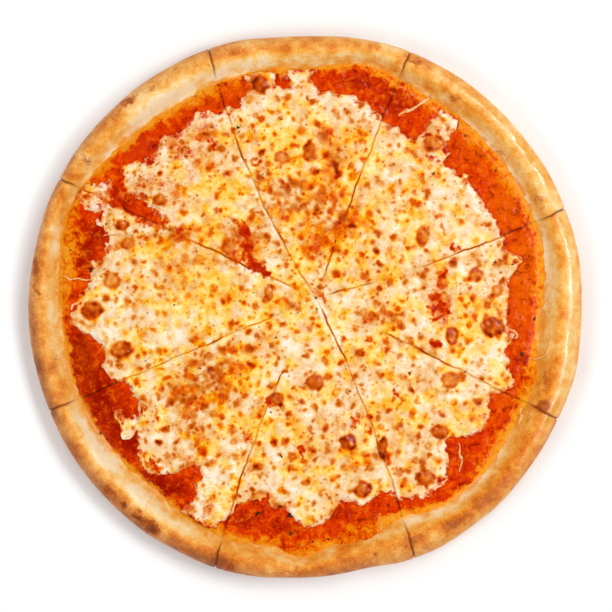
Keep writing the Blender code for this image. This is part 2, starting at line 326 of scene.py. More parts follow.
# ---------------------------------------------------------------- a canvas seen from above
CANVAS_HALF = 166.0
CELL = 0.3
AXIS = np.arange(-CANVAS_HALF, CANVAS_HALF + CELL / 2, CELL)
CANVAS_X, CANVAS_Y = np.meshgrid(AXIS, AXIS)
CANVAS_RADIUS = np.hypot(CANVAS_X, CANVAS_Y)
CANVAS_ANGLE = np.degrees(np.arctan2(CANVAS_Y, CANVAS_X)) % 360.0


def spline_weights(cell, count):
    """Cubic spline weights that spread a coarse row of values along the canvas axis."""
    place = (AXIS + CANVAS_HALF) / cell + 1.0
    first = np.floor(place).astype(int)
    part = place - first
    weights = np.zeros((len(AXIS), count))
    rows = np.arange(len(AXIS))
    weights[rows, first - 1] = (1 - part) ** 3 / 6
    weights[rows, first] = (3 * part**3 - 6 * part**2 + 4) / 6
    weights[rows, first + 1] = (-3 * part**3 + 3 * part**2 + 3 * part + 1) / 6
    weights[rows, first + 2] = part**3 / 6
    return weights


def canvas_noise(cell, seed):
    """Smooth noise over the canvas with a mean of 0 and a spread of 1."""
    count = int(2 * CANVAS_HALF / cell) + 5
    coarse = np.random.default_rng(seed).standard_normal((count, count))
    weights = spline_weights(cell, count)
    made = weights @ coarse @ weights.T
    return made / made.std()


def sample(field, x, y):
    """Values of a canvas field at points, read between its cells."""
    column = np.clip((x + CANVAS_HALF) / CELL, 0, len(AXIS) - 1.001)
    row = np.clip((y + CANVAS_HALF) / CELL, 0, len(AXIS) - 1.001)
    i = column.astype(int)
    j = row.astype(int)
    u = column - i
    v = row - j
    low = field[j, i] * (1 - u) + field[j, i + 1] * u
    high = field[j + 1, i] * (1 - u) + field[j + 1, i + 1] * u
    return low * (1 - v) + high * v


def stamp(field, x, y, reach, shape, join):
    """Join a small shape into a field; shape gets the offsets from its centre."""
    i0 = max(int((x - reach + CANVAS_HALF) / CELL), 0)
    j0 = max(int((y - reach + CANVAS_HALF) / CELL), 0)
    i1 = min(int((x + reach + CANVAS_HALF) / CELL) + 2, len(AXIS))
    j1 = min(int((y + reach + CANVAS_HALF) / CELL) + 2, len(AXIS))
    if i0 >= i1 or j0 >= j1:
        return
    window = field[j0:j1, i0:i1]
    offset_x = AXIS[i0:i1][None, :] - x
    offset_y = AXIS[j0:j1][:, None] - y
    window[:] = join(window, shape(offset_x, offset_y))


def ellipse(half_width, half_height, turn=0.0):
    """Function of offsets that is 0 at an ellipse's centre and 1 on its outline."""
    cos, sin = math.cos(turn), math.sin(turn)

    def distance(dx, dy):
        u = (dx * cos + dy * sin) / half_width
        v = (dy * cos - dx * sin) / half_height
        return np.hypot(u, v)

    return distance


def ellipse_px(half_width, half_height, turn=0.0):
    """As ellipse, for sizes in the photograph's pixels and a turn in degrees."""
    return ellipse(half_width * MM_PER_PX, half_height * MM_PER_PX, math.radians(turn))


def blots(places_px, profile, extent, join):
    """Field of blots from a list of x, y, half width, half height, turn if any, strength. The
    profile gets the distance from a blot's centre, which is 1 on its outline."""
    field = np.zeros_like(CANVAS_X)
    for x_px, y_px, half_width, half_height, *turn, strength in places_px:
        away = ellipse_px(half_width, half_height, *turn)

        def blot(dx, dy):
            return strength * profile(away(dx, dy))

        reach = extent * max(half_width, half_height) * MM_PER_PX
        stamp(field, *from_photo(x_px, y_px), reach, blot, join)
    return field


def zones(places_px, steepness=1.2, extent=2.5):
    """Sum of soft blots."""
    return blots(places_px, lambda d: np.exp(-steepness * d**2), extent, np.add)


def capsule(x0, y0, x1, y1):
    """Distance of canvas offsets from a short line; offsets are from its first end."""
    run = np.array([x1 - x0, y1 - y0])
    square = max(float(run @ run), 1e-6)

    def distance(dx, dy):
        part = np.clip((dx * run[0] + dy * run[1]) / square, 0.0, 1.0)
        return np.hypot(dx - part * run[0], dy - part * run[1])

    return distance


# ---------------------------------------------------------------- fields of the cheese
WARP_X = 0.45 * canvas_noise(2.6, 1) + 0.25 * canvas_noise(1.2, 2)
WARP_Y = 0.45 * canvas_noise(2.6, 3) + 0.25 * canvas_noise(1.2, 4)


def warped(field, strength=1.0):
    """The field with its shapes pushed about, so that nothing stays a clean ellipse."""
    return sample(field, CANVAS_X + strength * WARP_X, CANVAS_Y + strength * WARP_Y)


# Islands of cheese outside the main sheet: x, y, radius
CHEESE_ISLANDS_PX = (
    (434, 148, 14), (440, 131, 13), (447, 122, 10), (252, 92, 16), (262, 84, 14), (300, 78, 16),
    (306, 92, 18), (270, 98, 14), (95, 200, 16), (106, 190, 12), (205, 512, 18), (124, 415, 9),
    (129, 428, 9), (258, 488, 15), (278, 494, 13), (108, 218, 12),
)
# Bites of bare sauce out of the main sheet: x, y, radius
CHEESE_BAYS_PX = (
    (131, 404, 10), (120, 396, 12), (178, 492, 14), (196, 478, 8), (96, 236, 12), (118, 165, 7),
    (116, 178, 6), (119, 190, 6), (126, 200, 7), (137, 207, 6), (147, 213, 5), (155, 219, 4),
    (240, 88, 9), (284, 82, 5), (336, 76, 10), (457, 452, 10), (282, 522, 9), (240, 522, 9),
    (460, 150, 8), (506, 224, 9),
)


def cheese_edge_field():
    """How far inside the cheese's edge each canvas cell is, negative outside."""
    reach = CHEESE_RADIUS + bulge_sum(CANVAS_ANGLE, CHEESE_TONGUES)
    inside = reach - CANVAS_RADIUS
    for places, sign in ((CHEESE_ISLANDS_PX, 1.0), (CHEESE_BAYS_PX, -1.0)):
        for x_px, y_px, radius_px in places:
            x, y = from_photo(x_px, y_px)
            lobe = radius_px * MM_PER_PX - np.hypot(CANVAS_X - x, CANVAS_Y - y)
            inside = sign * np.maximum(sign * inside, lobe)
    inside = inside + 1.1 * canvas_noise(6.0, 21) + 0.7 * canvas_noise(2.8, 22)
    inside = inside + 0.4 * canvas_noise(1.3, 23)
    limit = foot_radius(CANVAS_ANGLE) - 0.4 - CANVAS_RADIUS
    return np.minimum(inside, limit)


SPOTS_SEED = 5
# Kinds of scattered browned spots: spacing, share of places taken, least and most radius, least
# and most browning, share that are rings
SPOT_KINDS = (
    (7.4, 0.88, 1.9, 3.3, 0.24, 0.46, 0.35), (4.4, 0.6, 0.9, 1.6, 0.16, 0.36, 0.2),
    (5.6, 0.45, 0.6, 1.0, 0.25, 0.45, 0.0),
)


def scattered_spots():
    """Extra browning of the soft spots that lie all over the cheese."""
    field = np.zeros_like(CANVAS_X)
    rng = np.random.default_rng(SPOTS_SEED)
    cluster = canvas_noise(15.0, 31)
    edge = CHEESE_RADIUS + 20
    for pitch, taken, least, most, light, dark, rings in SPOT_KINDS:
        places = np.arange(-edge, edge, pitch)
        for y0 in places:
            for x0 in places:
                dx, dy, chance, size, shade, turn, squash, form = rng.random(8)
                x = x0 + (dx - 0.5) * pitch * 1.3
                y = y0 + (dy - 0.5) * pitch * 1.3
                rich = sample(AMBER_LEVEL, x, y) - 0.8 * sample(PALE_AND_GLARE_LEVEL, x, y)
                group = sample(cluster, x, y)
                rich = min(rich, 1.0) + 0.35 * group
                if chance > taken * (1 + 0.25 * rich):
                    continue
                radius = (least + (most - least) * size**1.7) * (1 - 0.12 * group)
                depth = (light + (dark - light) * shade) * (1 + 0.12 * rich + 0.12 * group)
                away = ellipse(radius, radius * (0.72 + 0.28 * squash), turn * math.pi)
                hollow = 0.55 if form < rings else 0.0

                def brown(dx, dy):
                    d = away(dx, dy)
                    return depth * (1 - smoothstep(0.25, 1.25, d) - hollow * np.exp(-5 * d**2))

                stamp(field, x, y, 1.4 * radius, brown, np.add)
    return warped(field, 0.7)


def chosen_spots():
    """Browning of the spots that the photograph shows at known places."""

    def spot_profile(d):
        return 0.7 * np.exp(-1.1 * d**2) + 0.3 * np.exp(-5 * d**2)

    places_px = [(x, y, size, size, 0.30 + 0.70 * tone) for x, y, size, tone in SPOTS_PX]
    return warped(blots(places_px, spot_profile, 2.2, np.maximum), 1.0)


def blister_fields():
    """Raised blisters: dome height, how brown with painted light and shade across each, and
    coverage.
    """
    rise, tone, cover = (np.zeros_like(CANVAS_X) for _ in range(3))
    for x_px, y_px, half_width, half_height, depth in BLISTERS_PX:
        x, y = from_photo(x_px, y_px)
        wide = half_width * MM_PER_PX
        high = half_height * MM_PER_PX
        away = ellipse(wide, high)
        reach = 1.8 * max(wide, high)
        height = 0.25 + 0.10 * min(wide, high)

        def dome(dx, dy):
            return height * (1 - smoothstep(0.10, 1.15, away(dx, dy)))

        def tone_and_painted_light(dx, dy):
            d = away(dx, dy)
            edge = 0.13 * hump(d - 0.82, 0.26)
            # Painted light and shade: each blister's tone is lighter on its upper right and darker
            # on its lower left, as if lit from the upper right.
            painted_light_side = 0.05 * (0.85 * dx / wide + 0.53 * dy / high)
            return (depth - 0.06 + edge - painted_light_side) * (1 - smoothstep(0.80, 1.35, d))

        def covering(dx, dy):
            return 1 - smoothstep(0.65, 1.25, away(dx, dy))

        for layer, shape in ((rise, dome), (tone, tone_and_painted_light), (cover, covering)):
            stamp(layer, x, y, reach, shape, np.maximum)
    return warped(rise, 0.5), warped(tone, 0.7), warped(cover, 0.6)


# Parts of cuts that the melted cheese has nearly closed: cut, from and to in mm along it
HEALED_CUTS = (
    (5, -8, 46), (7, -8, 44), (0, 34, 62), (0, -8, 8), (4, -8, 20), (3, -8, 12), (2, -8, 4),
)


def healed_field():
    """Where cuts are nearly closed, from 0 to 1."""
    field = np.zeros_like(CANVAS_X)
    for number, start, stop in HEALED_CUTS:
        ends = stretch(start, stop, HEALED_FADE, reach_along(number, CANVAS_X, CANVAS_Y))
        away = np.abs(beside_cut(number, CANVAS_X, CANVAS_Y))
        field = np.maximum(field, ends * (away < HEALED_WIDTH))
    return field


def sauce_gap_field():
    """How much sauce shows through the cheese, from 0 to 1."""
    field = np.zeros_like(CANVAS_X)
    for x0_px, y0_px, x1_px, y1_px, half_width, strength in SAUCE_GAPS_PX:
        x0, y0 = from_photo(x0_px, y0_px)
        x1, y1 = from_photo(x1_px, y1_px)
        away = capsule(x0, y0, x1, y1)
        width = half_width * MM_PER_PX
        reach = 2.0 * width + math.hypot(x1 - x0, y1 - y0)

        def gap(dx, dy):
            return strength * (1 - smoothstep(0.1, 1.7, away(dx, dy) / width))

        stamp(field, x0, y0, reach, gap, np.maximum)
    return warped(field, 2.2)


AMBER_LEVEL = zones(AMBER_ZONES_PX)
PALE_AND_GLARE_LEVEL = zones(PALE_AND_GLARE_ZONES_PX)
EDGE = cheese_edge_field()
SPOTS = scattered_spots()
BLISTER_RISE, BLISTER_TONE_AND_PAINTED_LIGHT, BLISTER_COVER = blister_fields()
HEALED = healed_field()
PINK_LEVEL = zones(PINK_ZONES_PX)
CALM = np.clip(zones(CALM_ZONES_PX), 0.0, 1.0)
SAUCE_GAP = sauce_gap_field()
CUT_DISTANCE = nearest_cut(CANVAS_X, CANVAS_Y)
# How far open the cuts are
OPENING = smoothstep(-0.6, 1.5, canvas_noise(9.0, 61) + 0.6 * canvas_noise(3.5, 62))

# Unevenness of the melted cheese, and of its browning
MELT = canvas_noise(6.5, 41) + 0.7 * canvas_noise(3.0, 42) + 0.4 * canvas_noise(1.4, 43)
MELT = MELT / MELT.std()
MOTTLE = 0.8 * canvas_noise(5.0, 53) + canvas_noise(2.6, 49) + 0.7 * canvas_noise(1.4, 50)
MOTTLE = MOTTLE / MOTTLE.std()
FINE_MOTTLE = canvas_noise(1.5, 58) + 0.8 * canvas_noise(2.8, 59)
# Raised lips along the cuts and round the cheese's edge
CUT_LIP = lips_of_cuts(CANVAS_X, CANVAS_Y)
EDGE_LIP = hump(EDGE - 3.2, 2.2)
# Where the cheese is browned most, and how yellow it is with oil
RICH = (1 - np.exp(-1.3 * np.clip(AMBER_LEVEL - 0.3, 0.0, None))) * (1 - 0.85 * CALM)
AMBER = smoothstep(
    -1.5,
    1.9,
    0.5 * np.minimum(AMBER_LEVEL, 0.75)
    - 1.2 * PALE_AND_GLARE_LEVEL
    - 0.8 * PINK_LEVEL
    + 0.5 * CALM
    + (0.7 * canvas_noise(7.0, 54) + 1.0 * canvas_noise(2.6, 55)) * (1 + 0.4 * RICH)
    + 0.35
    - 1.3 * np.exp(-np.clip(EDGE, 0.0, None) / 8.0)
    - 2.0 * CUT_LIP,
)
# How thin it is towards its edge, how much sauce tints it, and how bare the sauce is
THIN = 1 - smoothstep(0.2, 4.6, EDGE + 0.9 * canvas_noise(2.4, 44))
PATCHY = smoothstep(-1.2, 1.4, canvas_noise(2.2, 45) - 0.4 * MELT)
FLECKS = smoothstep(0.2, 1.6, canvas_noise(1.2, 56) + 0.6 * canvas_noise(2.4, 57))
BLUSH = THIN * (0.26 + 0.32 * PATCHY + 0.40 * FLECKS)
BLUSH = np.maximum(BLUSH, np.clip(PINK_LEVEL, 0, 1) * (0.20 + 0.26 * PATCHY + 0.24 * FLECKS))
GAP = SAUCE_GAP + smoothstep(0.02, 0.3, SAUCE_GAP) * (0.45 * FLECKS - 0.30 * PATCHY)
GAP = np.clip(GAP, 0.0, 1.0)

# How brown the cheese is, from 0 (white) to 1 (burnt), with painted shade along the cuts and
# painted light and shade across the blisters added in. Above its knee it rises more slowly.
TOAST_BASE = 0.235
TOAST_MOST = 0.95
SLOPE_PAST_KNEE = 0.58
TOAST_AND_PAINTED_LIGHT = (
    TOAST_BASE
    + 0.40 * RICH
    + 0.04 * CALM
    - 0.13 * (1 - np.exp(-1.2 * PALE_AND_GLARE_LEVEL))
    + 0.07 * MOTTLE
    + 0.13 * RICH * FINE_MOTTLE
    - 0.03 * MELT
    - 0.04 * EDGE_LIP
    - 0.30 * CUT_LIP
    + SPOTS * (1 - 0.8 * np.clip(CUT_LIP, 0.0, 1.0)) * (1.1 - 0.3 * RICH - 0.4 * CALM)
)
TOAST_KNEE = 0.62 - 0.08 * RICH
TOAST_AND_PAINTED_LIGHT = np.minimum(TOAST_AND_PAINTED_LIGHT, TOAST_KNEE + SLOPE_PAST_KNEE * (TOAST_AND_PAINTED_LIGHT - TOAST_KNEE))
TOAST_AND_PAINTED_LIGHT = np.maximum(np.clip(TOAST_AND_PAINTED_LIGHT, 0.0, TOAST_MOST), chosen_spots())
TOAST_AND_PAINTED_LIGHT = np.maximum(TOAST_AND_PAINTED_LIGHT, 0.50 * smoothstep(0.05, 0.4, SAUCE_GAP))
# Painted shade: the cheese is darkened along the cuts, more where they stand open, as the shadow
# in the slits.
CUT_SHADE = (0.50 + 0.22 * OPENING + 0.06 * canvas_noise(5.0, 46)) * (1 - HEALED)
TOAST_AND_PAINTED_LIGHT = np.maximum(TOAST_AND_PAINTED_LIGHT, CUT_SHADE * (1 - smoothstep(0.1, 1.0, CUT_DISTANCE)))
BLUSH = BLUSH * (1 - 0.85 * smoothstep(0.42, 0.68, TOAST_AND_PAINTED_LIGHT) * (1 - THIN))
BLUSH = BLUSH * (1 - BLISTER_COVER) * (1 - 0.9 * RICH * (1 - THIN))
GAP = GAP * (1 - BLISTER_COVER)
TOAST_AND_PAINTED_LIGHT = TOAST_AND_PAINTED_LIGHT * (1 - BLISTER_COVER)
# The blisters' tone adds their painted light and shade here.
TOAST_AND_PAINTED_LIGHT = TOAST_AND_PAINTED_LIGHT + BLISTER_TONE_AND_PAINTED_LIGHT * (1 + 0.13 * canvas_noise(1.3, 47) + 0.12 * canvas_noise(2.8, 48))
# Where the cheese shines with oil
WET = np.maximum(BLISTER_COVER, smoothstep(0.5, 0.95, AMBER))

# Height of the cheese's top above its underside
CHEESE_FULL = 2.5
CHEESE_THINNEST = 0.35
CHEESE_LEAST = 0.30
CHEESE_HEIGHT = (
    CHEESE_THINNEST
    + CHEESE_FULL * (1 - np.exp(-np.clip(EDGE, 0.0, None) / 5.0))
    + (0.22 * canvas_noise(13.0, 51) + 0.42 * MELT + 0.12 * MOTTLE)
    * smoothstep(0.0, 3.5, EDGE)
    + 0.06 * canvas_noise(1.0, 52)
    + BLISTER_RISE
    - 0.50 * np.clip(SPOTS, 0.0, 0.6)
    - 1.0 * SAUCE_GAP**1.5 * smoothstep(0.0, 3.0, EDGE)
    + CUT_LIP
    - (0.3 + 0.5 * OPENING) * (1 - 0.9 * HEALED) * (1 - smoothstep(0.0, 0.9, CUT_DISTANCE))
)
CHEESE_HEIGHT = np.maximum(CHEESE_HEIGHT, CHEESE_LEAST)


# ---------------------------------------------------------------- meshes
def mesh_from(name, points, faces, values):
    """Mesh from points in mm, index arrays of faces (one for each number of corners), and
    named values for every point."""
    mesh = bpy.data.meshes.new(name)
    sizes = np.concatenate([np.full(len(group), group.shape[1]) for group in faces])
    corners = np.concatenate([group.ravel() for group in faces])
    mesh.vertices.add(len(points))
    mesh.vertices.foreach_set("co", (points * MM).astype(np.float32).ravel())
    mesh.loops.add(len(corners))
    mesh.loops.foreach_set("vertex_index", corners.astype(np.int32))
    mesh.polygons.add(len(sizes))
    starts = np.concatenate([[0], np.cumsum(sizes)[:-1]])
    mesh.polygons.foreach_set("loop_start", starts.astype(np.int32))
    mesh.update(calc_edges=True)
    for key, value in values.items():
        layer = mesh.attributes.new(key, "FLOAT", "POINT")
        layer.data.foreach_set("value", value.astype(np.float32))
    mesh.shade_smooth()
    return mesh


def piece_from(mesh, material, node):
    """Object that stands for a frame node, if one is named, and takes its finish from a slot."""
    piece = bpy.data.objects.new(mesh.name, mesh)
    bpy.context.scene.collection.objects.link(piece)
    mesh.materials.append(material)
    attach(piece, "root")
    if node:
        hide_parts(node)


# For each pattern of inside corners of a cell, the outline of its part, as places round the
# cell: 0 to 3 are its corners, and 4 to 7 the points where the edge crosses its four sides.
CELL_OUTLINES = {
    1: (0, 4, 7), 2: (4, 1, 5), 3: (0, 1, 5, 7), 4: (5, 2, 6), 5: (0, 4, 5, 2, 6, 7),
    6: (4, 1, 2, 6), 7: (0, 1, 2, 6, 7), 8: (6, 3, 7), 9: (0, 4, 6, 3), 10: (4, 1, 5, 6, 3, 7),
    11: (0, 1, 5, 6, 3), 12: (5, 2, 3, 7), 13: (0, 4, 5, 2, 3), 14: (4, 1, 2, 3, 7),
    15: (0, 1, 2, 3),
}
# How near to a grid point the edge may cross, as a share of the step
NEAREST_CROSSING = 0.15
# Value that filled holes get, and crumbs as a negative one
JUST_INSIDE = 0.05


def outline_mesh(inside, x, y):
    """Flat mesh of the part of a grid where inside is positive, with its edge moved onto the
    zero line. Gives points, faces and the border's edges."""
    within = inside > 0
    index = np.full(inside.shape, -1)
    index[within] = np.arange(within.sum())
    points = [np.stack([x[within], y[within]], axis=1)]

    def crossings(here, there):
        """Numbers of the points where the edge crosses between neighbours of the grid."""
        crossed = within[here] != within[there]
        value = inside[here][crossed]
        part = value / (value - inside[there][crossed])
        part = np.clip(part, NEAREST_CROSSING, 1 - NEAREST_CROSSING)
        made = []
        for place in (x, y):
            begin = place[here][crossed]
            made.append(begin + part * (place[there][crossed] - begin))
        numbers = np.full(crossed.shape, -1)
        numbers[crossed] = sum(len(group) for group in points) + np.arange(len(part))
        points.append(np.stack(made, axis=1))
        return numbers

    flat = crossings(np.s_[:, :-1], np.s_[:, 1:])
    upright = crossings(np.s_[:-1], np.s_[1:])
    corners = (index[:-1, :-1], index[:-1, 1:], index[1:, 1:], index[1:, :-1])
    around = corners + (flat[:-1], upright[:, 1:], flat[1:], upright[:, :-1])
    pattern = sum((corner >= 0) * 2**place for place, corner in enumerate(corners))
    by_size = {}
    border = []
    for kind, outline in CELL_OUTLINES.items():
        here = pattern == kind
        if not here.any():
            continue
        cells = np.stack([around[place][here] for place in outline], axis=1)
        by_size.setdefault(len(outline), []).append(cells)
        for step, place in enumerate(outline):
            after = (step + 1) % len(outline)
            if place > 3 and outline[after] > 3:
                border.append(cells[:, [step, after]])
    faces = [np.concatenate(group) for group in by_size.values()]
    return np.concatenate(points), faces, np.concatenate(border)


def loops_of(border):
    """Closed loops of point numbers from the border's directed edges."""
    following = dict(zip(border[:, 0].tolist(), border[:, 1].tolist()))
    loops = []
    while following:
        start = next(iter(following))
        loop = [start]
        here = following.pop(start)
        while here != start:
            loop.append(here)
            here = following.pop(here)
        loops.append(loop)
    return loops


def spread(seeds, allowed):
    """Everything that can be reached from the seeds through allowed grid cells."""
    reached = seeds & allowed
    while True:
        grown = reached.copy()
        grown[1:] |= reached[:-1]
        grown[:-1] |= reached[1:]
        grown[:, 1:] |= reached[:, :-1]
        grown[:, :-1] |= reached[:, 1:]
        grown &= allowed
        if (grown == reached).all():
            return reached
        reached = grown


def without_holes_and_crumbs(inside, least_cells):
    """The grid values with enclosed holes filled and small loose parts taken away."""
    border = np.ones(inside.shape, dtype=bool)
    border[1:-1, 1:-1] = False
    open_cells = inside <= 0
    holes = open_cells & ~spread(border, open_cells)
    filled = np.where(holes, JUST_INSIDE, inside)
    left = filled > 0
    while left.any():
        seed = np.zeros(inside.shape, dtype=bool)
        seed[np.unravel_index(np.argmax(left), left.shape)] = True
        part = spread(seed, left)
        if part.sum() < least_cells:
            filled[part] = -JUST_INSIDE
        left = left & ~part
    return filled


# Grid of a cheese slice: its step, how far out it reaches, and what it adds all round
CHEESE_GRID = 0.52
GRID_REACH = 170.0
GRID_MARGIN = 8.0
LEAST_PART_CELLS = 80
# Gaps between neighbouring cheese slices, where they are healed and where they are open
LEAST_GAP = 0.03
WIDEST_GAP = 0.28


def cheese_slice(number, material):
    """Melted cheese of one slice: a closed sheet with a rounded, uneven edge."""
    first, second = number - 1, number % SLICES
    ends = [cut_line(cut)[0] * GRID_REACH for cut in (first, second)]
    middle = (ends[0] + ends[1]) / 2.0 * 1.1
    corners = np.array([[0.0, 0.0], ends[0], ends[1], middle]) + CUT_CENTRE
    low = np.maximum(corners.min(axis=0) - GRID_MARGIN, -CANVAS_HALF + 2)
    high = np.minimum(corners.max(axis=0) + GRID_MARGIN, CANVAS_HALF - 2)
    x, y = np.meshgrid(
        np.arange(low[0], high[0], CHEESE_GRID), np.arange(low[1], high[1], CHEESE_GRID)
    )
    parted = sample(OPENING, x, y) * (1 - sample(HEALED, x, y))
    gap = LEAST_GAP + (WIDEST_GAP - LEAST_GAP) * parted
    wedge = np.minimum(beside_cut(first, x, y), -beside_cut(second, x, y)) - gap / 2.0
    inside = np.minimum(sample(EDGE, x, y), wedge)
    inside = without_holes_and_crumbs(inside, LEAST_PART_CELLS)
    flat, faces, border = outline_mesh(inside, x, y)
    px, py = flat[:, 0], flat[:, 1]
    top = CHEESE_BOTTOM + sample(CHEESE_HEIGHT, px, py)
    upper = np.column_stack([flat, top])
    rim_points = np.unique(border)
    lower_number = np.full(len(flat), -1)
    lower_number[rim_points] = len(flat) + np.arange(len(rim_points))
    lower = np.column_stack([flat[rim_points], np.full(len(rim_points), CHEESE_BOTTOM)])
    walls = np.column_stack([border[:, ::-1], lower_number[border]])
    floors = [lower_number[np.array(loop[::-1])][None, :] for loop in loops_of(border)]
    points = np.concatenate([upper, lower])
    sx, sy = points[:, 0], points[:, 1]
    below = np.arange(len(points)) >= len(flat)
    values = {
        "toast_and_painted_light": sample(TOAST_AND_PAINTED_LIGHT, sx, sy) * ~below,
        "amber": sample(AMBER, sx, sy),
        "blush": np.maximum(sample(BLUSH, sx, sy), 0.25 * below),
        "gap": sample(GAP, sx, sy) * ~below,
        "wet": sample(WET, sx, sy),
        "dome": sample(BLISTER_COVER, sx, sy),
    }
    mesh = mesh_from(f"cheese_top_{number}", points, faces + [walls] + floors, values)
    piece_from(mesh, material, f"cheese_{number}")


# ---------------------------------------------------------------- swept slices
LATTICE_SEED = 77
LATTICE_CELLS = 40
LATTICE = np.random.default_rng(LATTICE_SEED).standard_normal([LATTICE_CELLS] * 3)
# Spread of the noise between the lattice's points
LATTICE_SPREAD = 0.55


def noise3(points, cell, shift):
    """Smooth noise at points of a surface, with a mean of 0 and a spread of about 1."""
    grid = points / cell + shift
    base = np.floor(grid).astype(int)
    part = grid - base
    part = part * part * (3 - 2 * part)
    total = np.zeros(len(points))
    for corner in range(8):
        step = np.array([corner & 1, corner >> 1 & 1, corner >> 2 & 1])
        weight = np.prod(np.where(step, part, 1 - part), axis=1)
        i, j, k = ((base + step) % LATTICE_CELLS).T
        total += weight * LATTICE[i, j, k]
    return total / LATTICE_SPREAD


def surface_noise(x, y, z, parts):
    """Sum of noises at a grid of points; parts are size, cell in mm and shift of each."""
    points = np.column_stack([x.ravel(), y.ravel(), z.ravel()])
    total = sum(size * noise3(points, cell, shift) for size, cell, shift in parts)
    return total.reshape(x.shape)


def sweep_shares():
    """Shares across a slice from 0 to 1, with a few extra close to both cuts."""
    edges = np.array(EDGE_SHARES)
    inner = np.linspace(edges[-1] * 2.0, 1 - edges[-1] * 2.0, SLICE_COLUMNS)
    return np.concatenate([edges, inner, 1 - edges[::-1]])


def even_steps(count):
    """Column of even steps up to 1, without the 0 before them."""
    return np.linspace(0, 1, count + 1)[1:, None]


# Noises of surfaces: size, cell in mm and shift of each part
RIM_BROAD_NOISE = ((0.50, 19.0, 0.0),)
RIM_FINE_NOISE = ((0.20, 7.5, 5.0), (0.08, 3.0, 9.0), (0.04, 1.3, 13.0))
BAKE_NOISE = ((0.6, 12.0, 21.0), (0.5, 5.0, 25.0), (0.3, 2.2, 29.0))
SHINE_NOISE = ((1.0, 5.0, 69.0),)
STAIN_NOISE = ((0.6, 9.0, 33.0), (0.5, 3.5, 37.0), (0.3, 1.5, 41.0))
PULP_NOISE = ((0.50, 6.0, 41.0), (0.28, 2.6, 45.0), (0.26, 1.3, 49.0))
RAGGED_NOISE = ((0.45, 4.0, 61.0), (0.30, 1.6, 65.0))
OIL_NOISE = ((0.6, 10.0, 53.0), (0.5, 4.0, 57.0))

# Shares across a slice of the columns of points nearest to a cut
EDGE_SHARES = (0.0, 0.0013, 0.0030, 0.0055)
SLICE_COLUMNS = 150
CRUST_KNIFE_GAP = 0.06


def ray_points(number, shares, gap):
    """For every share across a slice: where its ray leaves the rim, and its directions."""
    first, second = CUTS[number - 1], CUTS[number % SLICES]
    sweep = (second[0] - first[0]) % 360.0
    angle = first[0] + shares * sweep
    bow = first[1] + shares * (second[1] - first[1])
    reach = outline_radius(angle)
    turn = np.radians(angle)
    end = np.stack([reach * np.cos(turn), reach * np.sin(turn)], axis=1)
    along = end - CUT_CENTRE
    length = np.hypot(along[:, 0], along[:, 1])
    along = along / length[:, None]
    across = np.stack([-along[:, 1], along[:, 0]], axis=1)
    aside = 0.5 * gap * (1 - 2 * shares)
    return angle % 360.0, along, across, length, bow, aside, number, shares


def on_rays(rays, part):
    """Points on the rays at a share of the way out; part has a row for each ring of points."""
    angle, along, across, length, bow, aside, number, shares = rays
    reach = part * length
    offset = 4.0 * bow * part * np.clip(1 - part, 0.0, None) + aside
    offset = offset + (1 - shares) * wander(number - 1, reach)
    offset = offset + shares * wander(number % SLICES, reach)
    x = CUT_CENTRE[0] + along[:, 0] * length * part + across[:, 0] * offset
    y = CUT_CENTRE[1] + along[:, 1] * length * part + across[:, 1] * offset
    return x, y


def zipper(upper, lower, upper_part, lower_part):
    """Triangles between two chains of points that run from the tip to the rim."""
    made = []
    i = j = 0
    while i < len(upper) - 1 or j < len(lower) - 1:
        step_upper = j == len(lower) - 1 or (
            i < len(upper) - 1 and upper_part[i + 1] <= lower_part[j + 1]
        )
        if step_upper:
            made.append((upper[i], lower[j], upper[i + 1]))
            i += 1
        else:
            made.append((upper[i], lower[j], lower[j + 1]))
            j += 1
    return np.array([t for t in made if len(set(t)) == 3])


def swept_mesh(name, x, y, z, upper_rows, part, values, sharp_angle):
    """Closed mesh of rings of points: rows run from the tip over the top to the outermost
    ring, and back under it to the tip. The two cut sides are closed with triangles."""
    rows, columns = x.shape
    points = np.column_stack([x.ravel(), y.ravel(), z.ravel()])
    number = np.arange(rows * columns).reshape(rows, columns)
    after = np.roll(number, -1, axis=0)
    quads = np.stack(
        [number[:, :-1], after[:, :-1], after[:, 1:], number[:, 1:]], axis=-1
    ).reshape(-1, 4)
    sides = []
    for column, flip in ((0, False), (columns - 1, True)):
        upper = number[:upper_rows, column]
        lower = np.concatenate([[upper[-1]], number[upper_rows:, column]])[::-1]
        upper_part = part[:upper_rows, column]
        lower_part = np.concatenate([[upper_part[-1]], part[upper_rows:, column]])[::-1]
        faces = zipper(upper, lower, upper_part, lower_part)
        sides.append(faces[:, ::-1] if flip else faces)
    flat = {key: value.ravel() for key, value in values.items()}
    mesh = mesh_from(name, points, [quads] + sides, flat)
    mesh.set_sharp_from_angle(angle=math.radians(sharp_angle))
    return mesh


# How far from the crossing of the cuts a slice's tip starts
CRUST_TIP = 0.9
CRUST_SHARP_ANGLE = 50
CRUST_BASE_ROWS = 9
CRUST_SLOPE_ROWS = 17
CRUST_SIDE_ROWS = 17
CRUST_BOTTOM_ROWS = 7
CRUST_UNDER_ROWS = 26
CUT_GROOVE_WIDTH = 0.55
CUT_GROOVE_DEPTH = 0.9
# Length of a slice's outer edge, about
SLICE_ARC = 120.0
# Direction in which the rim faces away from the light, where its outer side gets painted shade
SHADED_ANGLE = 205.0

